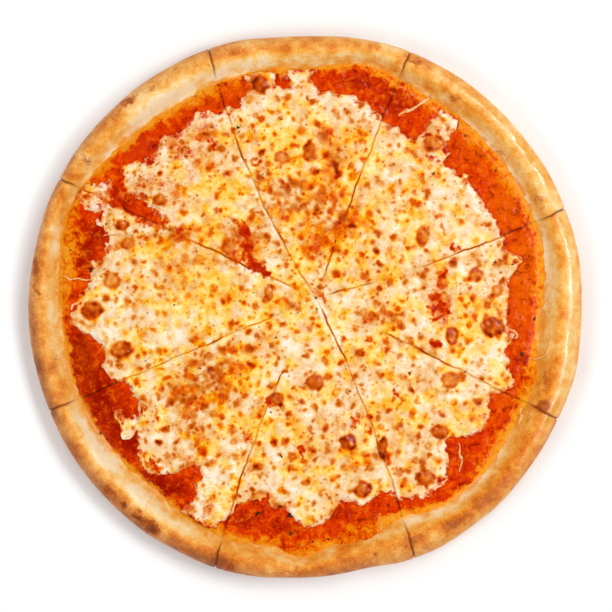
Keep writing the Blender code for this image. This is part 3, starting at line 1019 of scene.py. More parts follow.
# Darker baked places of the rim: x, y, half width, half height, turn, strength
RIM_BURNS_PX = (
    (126, 102, 9, 4, 35, 0.55), (153, 91, 5, 3, 30, 0.35), (88, 160, 7, 5, 60, 0.35),
    (37, 268, 4, 10, 0, 0.5), (38, 290, 4, 8, 0, 0.45), (55, 360, 5, 7, 0, 0.25),
    (124, 503, 5, 5, -40, 0.85), (111, 491, 7, 6, -40, 0.55), (153, 527, 11, 5, -35, 0.95),
    (138, 516, 6, 4, -40, 0.75), (230, 569, 8, 3, -10, 0.55), (212, 52, 6, 3, 20, 0.35),
    (412, 60, 7, 5, -20, 0.4), (432, 103, 7, 5, -30, 0.45), (455, 100, 6, 4, -30, 0.35),
    (495, 150, 6, 4, -45, 0.3), (540, 200, 5, 8, 20, 0.25), (539, 285, 5, 9, 0, 0.45),
    (545, 380, 5, 8, -10, 0.3), (542, 407, 9, 7, 20, 0.5), (412, 540, 12, 7, 10, 0.35),
    (486, 494, 22, 7, 40, 0.28), (370, 528, 6, 4, 0, 0.35), (375, 552, 8, 5, 0, 0.4),
    (300, 572, 30, 4, 0, 0.3), (185, 548, 12, 4, -25, 0.3), (75, 455, 6, 18, 30, 0.35),
    (560, 440, 5, 12, -25, 0.3),
)
RIM_BURN = warped(zones(RIM_BURNS_PX, 0.9, 2.4), 2.5)

# Paler and browner places of the rim, partly its own baked tone and partly painted light: pale
# streaks on the inner slope at the lower left and at the top are painted highlights, and the
# browner outer side at the lower left is painted shade. Columns: angle, half width in degrees,
# where across the rim (0 is its foot and 1 its outer edge), half width there, change in browning
RIM_TONES_AND_PAINTED_LIGHT = (
    (28, 34, 0.05, 0.1, -0.3), (40, 28, 0.44, 0.12, 0.12), (29, 7, 0.46, 0.14, -0.24),
    (2, 15, 0.76, 0.16, -0.2), (20, 14, 0.78, 0.16, -0.08), (78, 14, 0.62, 0.18, 0.18),
    (79, 8, 0.92, 0.1, -0.14), (90, 12, 0.3, 0.14, -0.2), (104, 12, 0.62, 0.18, 0.18),
    (122, 20, 0.26, 0.22, -0.34), (138, 10, 0.12, 0.14, -0.16), (151, 11, 0.5, 0.16, 0.16),
    (167, 9, 0.6, 0.2, 0.18), (182, 10, 0.26, 0.12, -0.26), (196, 8, 0.38, 0.16, 0.16),
    (213, 13, 0.28, 0.17, -0.32), (229, 11, 0.36, 0.17, -0.26), (218, 5, 0.22, 0.09, -0.22),
    (208, 3, 0.2, 0.08, -0.2), (241, 5, 0.28, 0.14, -0.28), (195, 42, 0.76, 0.22, 0.18),
    (230, 16, 0.84, 0.22, 0.16), (251, 14, 0.72, 0.3, 0.34), (276, 13, 0.58, 0.22, 0.2),
    (286, 6, 0.08, 0.12, 0.24), (307, 14, 0.58, 0.22, 0.42), (316, 18, 0.1, 0.11, -0.2),
    (300, 7, 0.2, 0.12, -0.22), (342, 9, 0.16, 0.16, 0.22), (12, 9, 0.16, 0.12, -0.16),
    (332, 10, 0.52, 0.15, 0.22), (348, 11, 0.46, 0.18, 0.18), (358, 10, 0.28, 0.1, -0.12),
)
# Oiled places that shine: angle, half width in degrees, where across the rim (0 is its foot and
# 1 its outer edge), half width there
RIM_SHINE = (
    (20, 34, 0.73, 0.15), (345, 20, 0.74, 0.15), (222, 26, 0.2, 0.18), (125, 24, 0.2, 0.14),
)


def crust_slice(number, material):
    """Baked dough of one slice, with its rim, underside and cut sides."""
    shares = sweep_shares()
    rays = ray_points(number, shares, CRUST_KNIFE_GAP)
    angle, length = rays[0], rays[3]
    width = rim_width(angle)
    height = rim_height(angle)
    foot_part = 1 - width / length
    tip_part = CRUST_TIP / length

    base = np.linspace(0, 1, CRUST_BASE_ROWS)[:, None] ** 0.8
    climb = even_steps(CRUST_SLOPE_ROWS)
    side_turn = 0.5 * math.pi * even_steps(CRUST_SIDE_ROWS)
    beyond = (1 - RIM_CREST) * np.sin(side_turn)
    round_turn = 0.5 * math.pi * even_steps(CRUST_BOTTOM_ROWS)
    round_part = 1 - BOTTOM_ROUNDING * (1 - np.cos(round_turn)) / length
    under = np.linspace(1, 0, CRUST_UNDER_ROWS + 1)[1:, None]
    # Each section's share of the way out, height, and place across the rim
    sections = (
        (tip_part + base * (foot_part - tip_part), DOUGH_THICKNESS, 0.0),
        (
            foot_part + climb * RIM_CREST * width / length,
            slope_height(climb, angle),
            RIM_CREST * climb,
        ),
        (
            1 - width * (1 - RIM_CREST - beyond) / length,
            RIM_WIDEST_HEIGHT + (height - RIM_WIDEST_HEIGHT) * np.cos(side_turn),
            RIM_CREST + beyond,
        ),
        (round_part, RIM_WIDEST_HEIGHT * (1 - np.sin(round_turn)), 1.0),
        (tip_part + under * (round_part[-1] - tip_part), 0.0, 1.0),
    )
    filled = [np.broadcast_arrays(*section) for section in sections]
    part, z, q = (np.concatenate(rows) for rows in zip(*filled))
    upper_rows = CRUST_BASE_ROWS + CRUST_SLOPE_ROWS + CRUST_SIDE_ROWS

    x, y = on_rays(rays, part)
    relief, groove = rim_relief(x, y, z, q, shares, part)
    outward = np.clip((q - RIM_CREST) / (1 - RIM_CREST), 0.0, 1.0)
    lift = np.sqrt(np.clip(1 - outward**2, 0.0, 1.0))
    on_top = np.arange(len(part))[:, None] < upper_rows
    z = z + np.where(on_top, relief * lift, 0.0)
    shrink = np.where(z > 0.0, relief * outward, 0.0)
    radius = np.hypot(x, y)
    x = x * (1 + shrink / np.maximum(radius, 1.0))
    y = y * (1 + shrink / np.maximum(radius, 1.0))

    under_side = ~on_top & (z < 0.5)
    values = {
        "bake_and_painted_light": bake_and_painted_light_of(x, y, z, q, angle, under_side),
        # dry: painted shade, which turns the outer side facing the lower left, away from the
        # light, towards duller colours.
        "dry": smoothstep(0.4, 0.9, q) * painted_shade_side(angle),
        "burn": np.where(under_side, 0.0, sample(RIM_BURN, x, y)) * (q > 0.02),
        "stain": stain_of(x, y, q) * on_top,
        "shine": shine_of(x, y, z, q, angle) * on_top,
        # cut: where shade is painted along the cut grooves.
        "cut": groove * on_top,
        "under": under_side * 1.0,
    }
    name = f"crust_baked_{number}"
    mesh = swept_mesh(name, x, y, z, upper_rows, part, values, CRUST_SHARP_ANGLE)
    piece_from(mesh, material, f"crust_{number}")


def rim_relief(x, y, z, q, shares, part):
    """Swellings of the baked rim, never above the frame's rim, and the grooves at the cuts."""
    broad = surface_noise(x, y, z, RIM_BROAD_NOISE)
    fine = surface_noise(x, y, z, RIM_FINE_NOISE)
    inward = 1 - 0.9 * smoothstep(0.55, 0.95, q)
    low = np.minimum((0.3 + 0.7 * inward) * broad + inward * fine - 0.6, 0.0)
    away = np.minimum(shares, 1 - shares)[None, :] * SLICE_ARC * part
    groove = hump(away, CUT_GROOVE_WIDTH)
    raised = smoothstep(0.0, 0.45, q)
    return raised * (low - CUT_GROOVE_DEPTH * groove), groove * raised


def painted_shade_side(angle):
    """How much the rim faces the photograph's lower left, away from the light."""
    return 0.5 + 0.5 * np.cos(np.radians(angle - SHADED_ANGLE))[None, :]


def bake_and_painted_light_of(x, y, z, q, angle, under_side):
    """How brown the dough is, from 0, raw pale, to 1, with the painted highlights and painted
    shade of the rim's tones and its shaded side added in.
    """
    mottle = surface_noise(x, y, z, BAKE_NOISE)
    side = smoothstep(0.60, 1.0, q)
    # The outer side is browner; its extra browning towards the lower left is painted shade.
    bake_and_painted_light = 0.37 + 0.07 * mottle + side * (0.04 + 0.20 * painted_shade_side(angle))
    for centre, half_width, middle, half_band, change in RIM_TONES_AND_PAINTED_LIGHT:
        around = bulge_sum(angle, ((centre, half_width, change),))[None, :]
        bake_and_painted_light = bake_and_painted_light + around * hump(q - middle, half_band)
    bottom = 0.50 + 0.16 * mottle
    return np.clip(np.where(under_side, bottom, bake_and_painted_light), 0.0, 1.0)


def shine_of(x, y, z, q, angle):
    """Where oil makes the rim shine."""
    broken = smoothstep(-1.2, 0.9, surface_noise(x, y, z, SHINE_NOISE))
    total = np.zeros(x.shape)
    for centre, half_width, middle, half_band in RIM_SHINE:
        around = bulge_sum(angle, ((centre, half_width, 1.0),))[None, :]
        across = hump(q - middle, half_band)
        total = np.maximum(total, np.minimum(1.6 * around, 1.0) * across)
    return total * (0.6 + 0.4 * broken)


def stain_of(x, y, q):
    """Orange oil that climbs from the sauce onto the rim's inner slope."""
    climb = 0.115 + 0.08 * surface_noise(x, y, np.zeros(x.shape), STAIN_NOISE)
    return 1 - smoothstep(0.1, 1.2, q / np.maximum(climb, 0.03))


# How far from the crossing of the cuts the sauce starts
SAUCE_TIP = 1.2
SAUCE_SHARP_ANGLE = 60
# How far below SAUCE_BOTTOM the sauce's outer edge and its underside lie
SAUCE_EDGE_SINK = 0.45
SAUCE_UNDER_SINK = 0.5
SAUCE_INNER_ROWS = 8
SAUCE_RING_ROWS = 62
SAUCE_UNDER_ROWS = 8
SAUCE_RING_START = 98.0
SAUCE_CLIMB = 0.045
# Where the sauce climbs further up the rim: angle, half width, extra share of the rim's width
SAUCE_CLIMBS = ((283, 7, 0.14), (341, 6, 0.10), (210, 7, -0.07))
# Waves of the sauce's edge on the rim: how many go round, size as a share of the rim's width
SAUCE_EDGE_WAVES = ((9, 0.018), (23, 0.014), (57, 0.014), (113, 0.010), (197, 0.006))
SAUCE_KNIFE_GAP = 0.25

# Width of the oily orange band at the foot of the rim: angle, half width, extra mm
OIL_BULGES = (
    (167, 12, 9.0), (10, 8, 3.5), (352, 9, -2.2), (38, 20, 4.5), (62, 10, 2.0), (112, 12, 3.0),
    (268, 6, 6.0), (320, 14, 2.5), (212, 26, -2.2), (285, 8, -1.5),
)

# Deep red places of the sauce: x, y, half width, half height, strength
DEEP_SAUCE_PX = (
    (100, 395, 18, 30, 1.0), (84, 362, 14, 28, 1.0), (118, 425, 18, 24, 0.8),
    (150, 478, 26, 12, 0.8), (132, 440, 14, 16, 1.0), (85, 255, 12, 22, 1.0),
    (75, 345, 10, 18, 0.9), (172, 490, 22, 10, 1.0), (245, 520, 16, 10, 0.8),
    (290, 528, 24, 10, 0.6), (120, 200, 14, 14, 1.0), (100, 232, 12, 12, 1.0),
    (350, 515, 30, 8, 0.4), (280, 75, 10, 8, 0.8), (395, 100, 24, 14, 0.7), (358, 82, 24, 8, 0.8),
    (150, 145, 14, 8, 0.5), (520, 362, 8, 20, 0.4), (462, 460, 8, 18, 0.4),
)
DEEP_LEVEL = zones(DEEP_SAUCE_PX)

# Smooth raised lumps of tomato: x, y, half width, half height, turn, strength
TOMATO_LUMPS_PX = ((137, 149, 19, 11, 38, 1.0),)


def lump_profile(d):
    return 1 - smoothstep(0.55, 1.1, d)


SMOOTH_LEVEL = warped(blots(TOMATO_LUMPS_PX, lump_profile, 1.4, np.maximum), 0.8)

# Orange-red places of the sauce: x, y, half width, half height, strength
WARM_SAUCE_PX = (
    (522, 290, 16, 60, 0.9), (527, 260, 12, 22, 0.9), (505, 200, 18, 36, 1.0),
    (478, 145, 26, 22, 0.9), (430, 98, 26, 12, 0.5), (505, 400, 14, 22, 0.6),
    (190, 100, 30, 12, 0.7), (245, 90, 18, 10, 0.6), (85, 360, 8, 30, 0.3),
    (360, 535, 24, 8, 0.6), (66, 300, 6, 30, 0.6), (110, 470, 12, 20, 0.4),
)
WARM_LEVEL = zones(WARM_SAUCE_PX)


def sauce_slice(number, material):
    """Tomato sauce of one slice, from its tip to a little way up the rim."""
    shares = sweep_shares()
    rays = ray_points(number, shares, SAUCE_KNIFE_GAP)
    angle, length = rays[0], rays[3]
    width = rim_width(angle)
    tip_part = SAUCE_TIP / length
    start_part = SAUCE_RING_START / length
    wave = sum(size * np.sin(np.radians(angle * turns)) for turns, size in SAUCE_EDGE_WAVES)
    climb = SAUCE_CLIMB + wave + bulge_sum(angle, SAUCE_CLIMBS)
    end_part = 1 - width * (1 - climb) / length

    inner = np.linspace(0, 1, SAUCE_INNER_ROWS)[:, None]
    inner_part = tip_part + inner * (start_part - tip_part)
    ring_part = start_part + even_steps(SAUCE_RING_ROWS) * (end_part - start_part)
    under = np.linspace(1, 0, SAUCE_UNDER_ROWS)[:, None]
    under_part = tip_part + under * (end_part - tip_part)
    part = np.concatenate([inner_part, ring_part, under_part])
    upper_rows = SAUCE_INNER_ROWS + SAUCE_RING_ROWS

    x, y = on_rays(rays, part)
    q = 1 - (1 - part) * length / width
    slope = slope_height(np.clip(q, 0.0, None) / RIM_CREST, angle)
    on_top = np.arange(len(part))[:, None] < upper_rows
    lift = slope - DOUGH_THICKNESS
    level = np.zeros(x.shape)
    pulp = surface_noise(x, y, level, PULP_NOISE)
    ragged = surface_noise(x, y, level, RAGGED_NOISE)
    bare = 1 - smoothstep(-2.5, 0.5, sample(EDGE, x, y))
    fade = 1 - smoothstep(-0.20, climb + np.zeros(q.shape), q)
    thickness = (SAUCE_TOP - SAUCE_BOTTOM) * fade - SAUCE_EDGE_SINK * (1 - fade)
    thickness = thickness + ragged * 0.4 * fade * (1 - fade)
    smooth = sample(SMOOTH_LEVEL, x, y)
    lumps = 0.20 + 0.19 * pulp * (1 - smooth) + 0.7 * smooth
    top = SAUCE_BOTTOM + lift + thickness + bare * lumps * fade
    bottom = SAUCE_BOTTOM + lift - SAUCE_UNDER_SINK
    z = np.where(on_top, top, bottom)

    inward = np.clip(-q, 0.0, None) * width
    oil_wave = surface_noise(x, y, level, OIL_NOISE)
    oil_reach = 4.8 + np.clip(bulge_sum(angle, OIL_BULGES), -2.4, 12.0)[None, :]
    pooled = 1 - smoothstep(0.0, 1.25, (inward - 1.1 * oil_wave) / oil_reach)
    climbing = smoothstep(-0.09, 0.03, q + 0.02 * oil_wave)
    red_foot = 1 - 0.7 * np.clip(bulge_sum(angle, SAUCE_CLIMBS) / 0.2, 0.0, 1.0)
    values = {
        "oil": (0.72 * pooled + 0.28 * climbing) * red_foot,
        "deep": np.clip(sample(DEEP_LEVEL, x, y), 0.0, 1.0),
        "warm": np.clip(sample(WARM_LEVEL, x, y), 0.0, 1.0),
        "smooth": smooth * on_top,
        # cut: where shade is painted in the sauce next to the cuts.
        "cut": 1 - smoothstep(0.2, 0.9, sample(CUT_DISTANCE, x, y)),
    }
    name = f"sauce_layer_{number}"
    mesh = swept_mesh(name, x, y, z, upper_rows, part, values, SAUCE_SHARP_ANGLE)
    piece_from(mesh, material, f"sauce_{number}")


# ---------------------------------------------------------------- strands and herbs
# Loose strands of cheese: thickness in mm, then points in pixels
STRANDS_PX = (
    (0.9, (550, 325), (549, 345), (546, 355), (538, 359), (528, 358)),
    (2.0, (398, 116), (406, 111), (414, 108), (422, 103), (431, 97)),
    (1.0, (62, 276), (70, 279), (80, 279), (92, 280)),
    (1.0, (103, 236), (112, 234), (122, 236), (134, 235)),
    (1.2, (459, 443), (460, 452), (462, 461), (460, 472)),
    (1.3, (523, 403), (521, 411), (521, 418), (518, 427)),
)
# Dark flakes of dried herb: x, y, half length in mm
HERBS_PX = (
    (100, 434, 1.0), (281, 456, 1.2), (238, 127, 1.3), (281, 120, 0.9), (271, 412, 0.8),
    (258, 514, 1.9), (281, 506, 1.7), (290, 516, 1.8), (291, 534, 1.3), (299, 545, 0.8),
    (313, 542, 0.9), (328, 539, 1.2), (355, 427, 0.8), (388, 505, 1.1), (433, 174, 1.3),
    (174, 305, 0.8), (276, 337, 0.8), (240, 301, 0.9), (317, 309, 0.8), (350, 391, 0.8),
    (90, 270, 1.6), (146, 361, 0.8), (409, 373, 1.0), (465, 372, 0.8), (522, 353, 1.7),
    (280, 212, 0.9), (106, 224, 1.0), (70, 250, 0.8), (495, 262, 0.9), (512, 265, 1.0),
    (535, 319, 1.6), (508, 378, 0.8), (336, 241, 0.8), (465, 136, 0.9), (496, 170, 0.9),
    (402, 420, 0.7), (186, 118, 0.8), (196, 96, 0.7),
)
STRANDS_SEED = 91
HERBS_SEED = 92
STRAND_POINTS = 33
STRAND_SIDES = 10
FLAKE_POINTS = 9
FLAKE_SIDES = 8
FLAKES_IN_HERB = 3
LOOSE_SPECKS = 90
# How far the loose specks stay from the cuts and from the rim's foot
SPECK_OFF_CUT = 1.5
SPECK_OFF_RIM = 2.0


def top_of_food(x, y):
    """Height of the visible surface at rows of places in mm."""
    angle = np.degrees(np.arctan2(y, x)) % 360.0
    width = rim_width(angle)
    q = (np.hypot(x, y) - foot_radius(angle)) / width
    dough = slope_height(q / RIM_CREST, angle) - 0.7 * smoothstep(0.05, 0.30, q)
    sauce = SAUCE_TOP + 0.3 * smoothstep(0.1, -0.1, q)
    cheese = CHEESE_BOTTOM + sample(CHEESE_HEIGHT, x, y)
    base = np.maximum(dough, np.where(q < 0.02, sauce, 0.0))
    return np.where(sample(EDGE, x, y) > 0.3, cheese, base)


def slice_at(x, y):
    """Number of the slice that a place belongs to."""
    for number in range(1, SLICES + 1):
        after = beside_cut(number - 1, x, y)
        before = beside_cut(number % SLICES, x, y)
        if after > 0 > before and reach_along(number - 1, x, y) > 0:
            return number
    return 1


class Bits:
    """Small closed shapes gathered into one mesh for each slice."""

    def __init__(self):
        self.points = {}
        self.faces = {}

    def add(self, number, points, faces):
        held = self.points.setdefault(number, [])
        start = sum(len(group) for group in held)
        held.append(points)
        self.faces.setdefault(number, []).append(faces + start)

    def make(self, name, material):
        for number, groups in self.points.items():
            faces = np.concatenate(self.faces[number])
            mesh = mesh_from(f"{name}_{number}", np.concatenate(groups), [faces], {})
            piece_from(mesh, material, None)


def tube(path, radius, sides):
    """Closed tube along points in space, tapered to both ends."""
    steps = len(path)
    heading = np.gradient(path, axis=0)
    heading = heading / np.linalg.norm(heading, axis=1)[:, None]
    side = np.cross(heading, [0.0, 0.0, 1.0])
    side = side / np.linalg.norm(side, axis=1)[:, None]
    upward = np.cross(side, heading)
    turn = np.linspace(0, 2 * math.pi, sides, endpoint=False)
    ring = np.cos(turn)[None, :, None] * side[:, None, :]
    ring = ring + np.sin(turn)[None, :, None] * upward[:, None, :]
    points = path[:, None, :] + radius[:, None, None] * ring
    number = np.arange(steps * sides).reshape(steps, sides)
    beside = np.roll(number, -1, axis=1)
    quads = np.stack([number[:-1], beside[:-1], beside[1:], number[1:]], axis=-1)
    points = np.concatenate([points.reshape(-1, 3), path[:1], path[-1:]])
    ends = []
    for row, tip, flip in ((0, steps * sides, False), (steps - 1, steps * sides + 1, True)):
        fan = np.stack([np.full(sides, tip), beside[row], number[row]], axis=1)
        ends.append(fan[:, ::-1] if flip else fan)
    return points, quads.reshape(-1, 4), np.concatenate(ends)


def all_triangles(quads, triangles):
    return np.concatenate([quads[:, [0, 1, 2]], quads[:, [0, 2, 3]], triangles])


def smoothed(values, rounds):
    """The row of values with its bends rounded off."""
    for _ in range(rounds):
        values[1:-1] = (values[:-2] + 2 * values[1:-1] + values[2:]) / 4
    return values


def make_strands(material):
    bits = Bits()
    rng = np.random.default_rng(STRANDS_SEED)
    for thickness, *places in STRANDS_PX:
        corners = np.array([from_photo(*place) for place in places])
        share = np.linspace(0, 1, len(corners))
        fine = np.linspace(0, 1, STRAND_POINTS)
        x = np.interp(fine, share, corners[:, 0])
        y = np.interp(fine, share, corners[:, 1])
        x, y = smoothed(x, 12), smoothed(y, 12)
        z = smoothed(top_of_food(x, y) + 0.2 + 0.05 * thickness, 3)
        taper = np.clip(1 - np.abs(2 * fine - 1) ** 2.6, 0.03, 1.0) ** 0.6
        wave = 1 + 0.30 * np.sin(fine * 11 + rng.random() * 6) + 0.15 * np.sin(fine * 27)
        bend = 0.35 * thickness * np.sin(fine * (9 + 5 * rng.random()))
        x, y = x + bend * smoothstep(0.0, 0.2, fine), y + bend * smoothstep(1.0, 0.8, fine)
        path = np.column_stack([x, y, z])
        points, quads, fans = tube(path, 0.5 * thickness * taper * wave, STRAND_SIDES)
        middle = STRAND_POINTS // 2
        bits.add(slice_at(x[middle], y[middle]), points, all_triangles(quads, fans))
    bits.make("cheese_strands", material)


def flake(x, y, length, turn, rng):
    """Bent leaf-like chip lying on the food."""
    along = np.linspace(-1, 1, FLAKE_POINTS)
    uneven = 0.8 + 0.4 * rng.random(FLAKE_POINTS)
    half = 0.42 * length * np.sqrt(np.clip(1 - along**2, 0.03, 1)) * uneven
    px = x + along * length * math.cos(turn)
    py = y + along * length * math.sin(turn)
    z = top_of_food(px, py).mean() + 0.10 + 0.12 * length * along**2
    path = np.column_stack([px, py, z])
    points, quads, fans = tube(path, half, FLAKE_SIDES)
    middle = np.repeat(path[:, 2], FLAKE_SIDES)
    points[: len(middle), 2] = middle + 0.35 * (points[: len(middle), 2] - middle)
    return points, all_triangles(quads, fans)


def make_herbs(material):
    bits = Bits()
    rng = np.random.default_rng(HERBS_SEED)
    for x_px, y_px, length in HERBS_PX:
        x, y = from_photo(x_px, y_px)
        for _ in range(FLAKES_IN_HERB):
            aside, turn, size = rng.random(2) - 0.5, rng.random(), rng.random()
            at = np.array([x, y]) + 0.9 * length * aside
            part = length * (0.45 + 0.45 * size)
            points, faces = flake(at[0], at[1], part, turn * math.pi, rng)
            bits.add(slice_at(x, y), points, faces)
    for _ in range(LOOSE_SPECKS):
        turn, reach, size, spin = rng.random(4)
        angle = 360.0 * turn
        radius = math.sqrt(reach) * (foot_radius(angle) - SPECK_OFF_RIM)
        x = radius * math.cos(math.radians(angle))
        y = radius * math.sin(math.radians(angle))
        if nearest_cut(x, y) < SPECK_OFF_CUT:
            continue
        points, faces = flake(x, y, 0.32 + 0.35 * size, spin * math.pi, rng)
        bits.add(slice_at(x, y), points, faces)
    bits.make("herbs", material)


# ---------------------------------------------------------------- materials
class Graph:
    """Short ways to make the nodes of one material."""

    def __init__(self, name):
        self.material = bpy.data.materials.new(name)
        self.material.use_nodes = True
        self.tree = self.material.node_tree
        self.shader = self.tree.nodes["Principled BSDF"]
        self.place = self.tree.nodes.new("ShaderNodeTexCoord").outputs["Object"]

    def link(self, source, target):
        if hasattr(source, "links"):
            self.tree.links.new(source, target)
        else:
            target.default_value = source

    def node(self, kind, **inputs):
        """Node with its inputs linked or set; names have _ for the spaces of the inputs."""
        node = self.tree.nodes.new("ShaderNode" + kind)
        for name, source in inputs.items():
            self.link(source, node.inputs[name.replace("_", " ")])
        return node

    def value(self, name):
        node = self.node("Attribute")
        node.attribute_name = name
        return node.outputs["Fac"]

    def math(self, operation, *sources):
        node = self.node("Math")
        node.operation = operation
        for place, source in enumerate(sources):
            self.link(source, node.inputs[place])
        return node.outputs[0]

    def add(self, first, second):
        return self.math("ADD", first, second)

    def minus(self, first, second):
        return self.math("SUBTRACT", first, second)

    def times(self, first, second):
        return self.math("MULTIPLY", first, second)

    def span(self, source, low, high, to_low=0.0, to_high=1.0):
        """The value mapped from one range to another, smoothly and within it."""
        node = self.node("MapRange", Value=source, From_Min=low, From_Max=high)
        node.interpolation_type = "SMOOTHSTEP"
        self.link(to_low, node.inputs["To Min"])
        self.link(to_high, node.inputs["To Max"])
        return node.outputs["Result"]

    def mix(self, first, second, factor):
        node = self.node("Mix")
        node.data_type = "RGBA"
        self.link(factor, node.inputs["Factor"])
        self.link(first, node.inputs["A"])
        self.link(second, node.inputs["B"])
        return node.outputs["Result"]

    def ramp(self, factor, *stops):
        """Colour ramp; each stop is its place and the red, green and blue of tint."""
        node = self.node("ValToRGB", Fac=factor)
        while len(node.color_ramp.elements) < len(stops):
            node.color_ramp.elements.new(1.0)
        for element, (place, *colour) in zip(node.color_ramp.elements, stops):
            element.position = place
            element.color = tint(*colour)
        return node.outputs["Color"]

    def noise(self, size_mm, detail, roughness, distortion=0.0):
        scale = 1.0 / (size_mm * MM)
        node = self.node("TexNoise", Vector=self.place, Scale=scale, Detail=detail)
        self.link(roughness, node.inputs["Roughness"])
        self.link(distortion, node.inputs["Distortion"])
        return node.outputs["Fac"]

    def cells(self, size_mm):
        node = self.node("TexVoronoi", Vector=self.place, Scale=1.0 / (size_mm * MM))
        return node.outputs["Distance"]

    def bump(self, height, depth_mm, strength):
        node = self.node("Bump", Strength=strength, Distance=depth_mm * MM, Height=height)
        return node.outputs["Normal"]

    def finish(self, colour, roughness, normal, **settings):
        """The material; settings are other inputs, with _ for the spaces in their names."""
        settings.update(Base_Color=colour, Roughness=roughness, Normal=normal)
        for name, setting in settings.items():
            self.link(setting, self.shader.inputs[name.replace("_", " ")])
        return self.material


def tint(red, green, blue):
    """Linear colour from sRGB values of 0 to 255."""

    def linear(value):
        share = value / 255.0
        return share / 12.92 if share <= 0.04045 else ((share + 0.055) / 1.055) ** 2.4

    return (linear(red), linear(green), linear(blue), 1.0)


# How light spreads inside cheese
CHEESE_GLOW = {
    "Subsurface_Weight": 0.10,
    "Subsurface_Radius": (1.0, 0.55, 0.25),
    "Subsurface_Scale": 0.0025,
}


def cheese_material():
    g = Graph("melted_cheese")
    grain = g.noise(1.1, 4.0, 0.62)
    dome = g.value("dome")
    toast_and_painted_light = g.add(g.value("toast_and_painted_light"), g.span(grain, 0.32, 0.68, -0.07, 0.07))
    milky = g.ramp(
        toast_and_painted_light,
        (0.0, 253, 240, 222), (0.13, 249, 222, 184), (0.26, 243, 200, 146), (0.38, 237, 174, 102),
        (0.5, 223, 138, 50), (0.62, 205, 100, 10), (0.74, 184, 68, 2), (0.87, 152, 40, 0),
        (1.0, 86, 18, 0),
    )
    oily = g.ramp(
        toast_and_painted_light,
        (0.0, 255, 240, 196), (0.12, 252, 224, 142), (0.24, 250, 204, 84), (0.36, 246, 176, 30),
        (0.48, 242, 140, 0), (0.6, 234, 102, 0), (0.74, 214, 66, 0), (0.87, 172, 38, 0),
        (1.0, 86, 18, 0),
    )
    body = g.mix(milky, oily, g.value("amber"))
    blush = g.add(g.value("blush"), g.span(grain, 0.4, 0.7, -0.08, 0.12))
    thin = g.ramp(
        blush, (0.12, 238, 176, 122), (0.34, 229, 128, 60), (0.56, 210, 62, 10), (0.85, 164, 24, 0)
    )
    body = g.mix(body, thin, g.span(blush, 0.10, 0.60))
    gap = g.add(g.value("gap"), g.span(grain, 0.3, 0.7, -0.12, 0.12))
    bare = g.ramp(
        gap, (0.15, 236, 142, 44), (0.36, 228, 98, 8), (0.60, 206, 50, 0), (1.00, 172, 26, 0)
    )
    body = g.mix(body, bare, g.span(gap, 0.06, 0.50))
    # The blister colour follows the browning value, which holds painted light and shade across
    # each blister.
    blistered = g.ramp(
        g.value("toast_and_painted_light"),
        (0.3, 240, 164, 72), (0.54, 220, 114, 28), (0.74, 194, 72, 8), (1.0, 132, 32, 0),
    )
    body = g.mix(body, blistered, g.span(dome, 0.1, 0.9, 0.0, 0.9))
    rough = g.span(grain, 0.3, 0.7, 0.12, 0.25)
    rough = g.minus(rough, g.span(g.value("wet"), 0, 1, 0, 0.04))
    rough = g.minus(rough, g.span(gap, 0.2, 0.6, 0.0, 0.10))
    dry = g.times(g.span(toast_and_painted_light, 0.42, 0.75, 1.0, 0.2), g.span(gap, 0.1, 0.5, 1.0, 0.3))
    dry = g.times(dry, g.span(blush, 0.35, 0.7, 1.0, 0.25))
    gloss = g.math("MAXIMUM", g.times(dry, 0.28), g.times(dome, 0.24))
    g.link(gloss, g.shader.inputs["Specular IOR Level"])
    height = g.math("MULTIPLY_ADD", g.noise(0.8, 3.0, 0.6), 0.4, grain)
    strength = g.span(dome, 0.2, 0.9, 0.6, 0.2)
    return g.finish(body, rough, g.bump(height, 0.45, strength), **CHEESE_GLOW)


def sauce_material():
    g = Graph("tomato_sauce")
    grain = g.noise(0.9, 4.0, 0.7)
    patch = g.noise(4.5, 5.0, 0.65, 0.6)
    deep = g.value("deep")
    red = g.mix(tint(212, 48, 0), tint(154, 16, 0), deep)
    red = g.mix(red, tint(222, 86, 0), g.value("warm"))
    calm = g.span(deep, 0.0, 1.0, 1.0, 0.35)
    light = g.times(g.span(patch, 0.48, 0.66, 0.0, 0.9), calm)
    red = g.mix(red, tint(236, 96, 4), light)
    red = g.mix(red, tint(118, 6, 0), g.span(patch, 0.48, 0.32, 0.0, 0.75))
    fleck = g.times(g.span(grain, 0.56, 0.70, 0.0, 0.6), calm)
    red = g.mix(red, tint(238, 124, 24), fleck)
    red = g.mix(red, tint(176, 34, 0), g.span(grain, 0.42, 0.30, 0.0, 0.35))
    red = g.mix(red, tint(206, 52, 6), g.times(g.value("smooth"), 0.85))
    # Painted shade: the sauce is darkened next to the cuts.
    red = g.mix(red, tint(96, 14, 4), g.times(g.value("cut"), 0.75))
    oil = g.add(g.value("oil"), g.span(patch, 0.32, 0.68, -0.34, 0.34))
    oil = g.add(oil, g.span(grain, 0.3, 0.7, -0.18, 0.18))
    oily = g.ramp(
        oil, (0.15, 216, 68, 0), (0.40, 224, 102, 0), (0.65, 228, 124, 6), (0.95, 232, 152, 36)
    )
    colour = g.mix(red, oily, g.span(oil, 0.10, 0.60))
    rough = g.span(grain, 0.3, 0.7, 0.13, 0.22)
    rough = g.minus(rough, g.times(deep, 0.06))
    height = g.math("MULTIPLY_ADD", g.noise(2.4, 2.0, 0.45), 1.6, g.noise(1.3, 1.5, 0.5))
    g.link(g.span(deep, 0.0, 1.0, 0.11, 0.5), g.shader.inputs["Specular IOR Level"])
    strength = g.span(deep, 0.0, 1.0, 0.42, 0.6)
    return g.finish(colour, rough, g.bump(height, 0.42, strength))


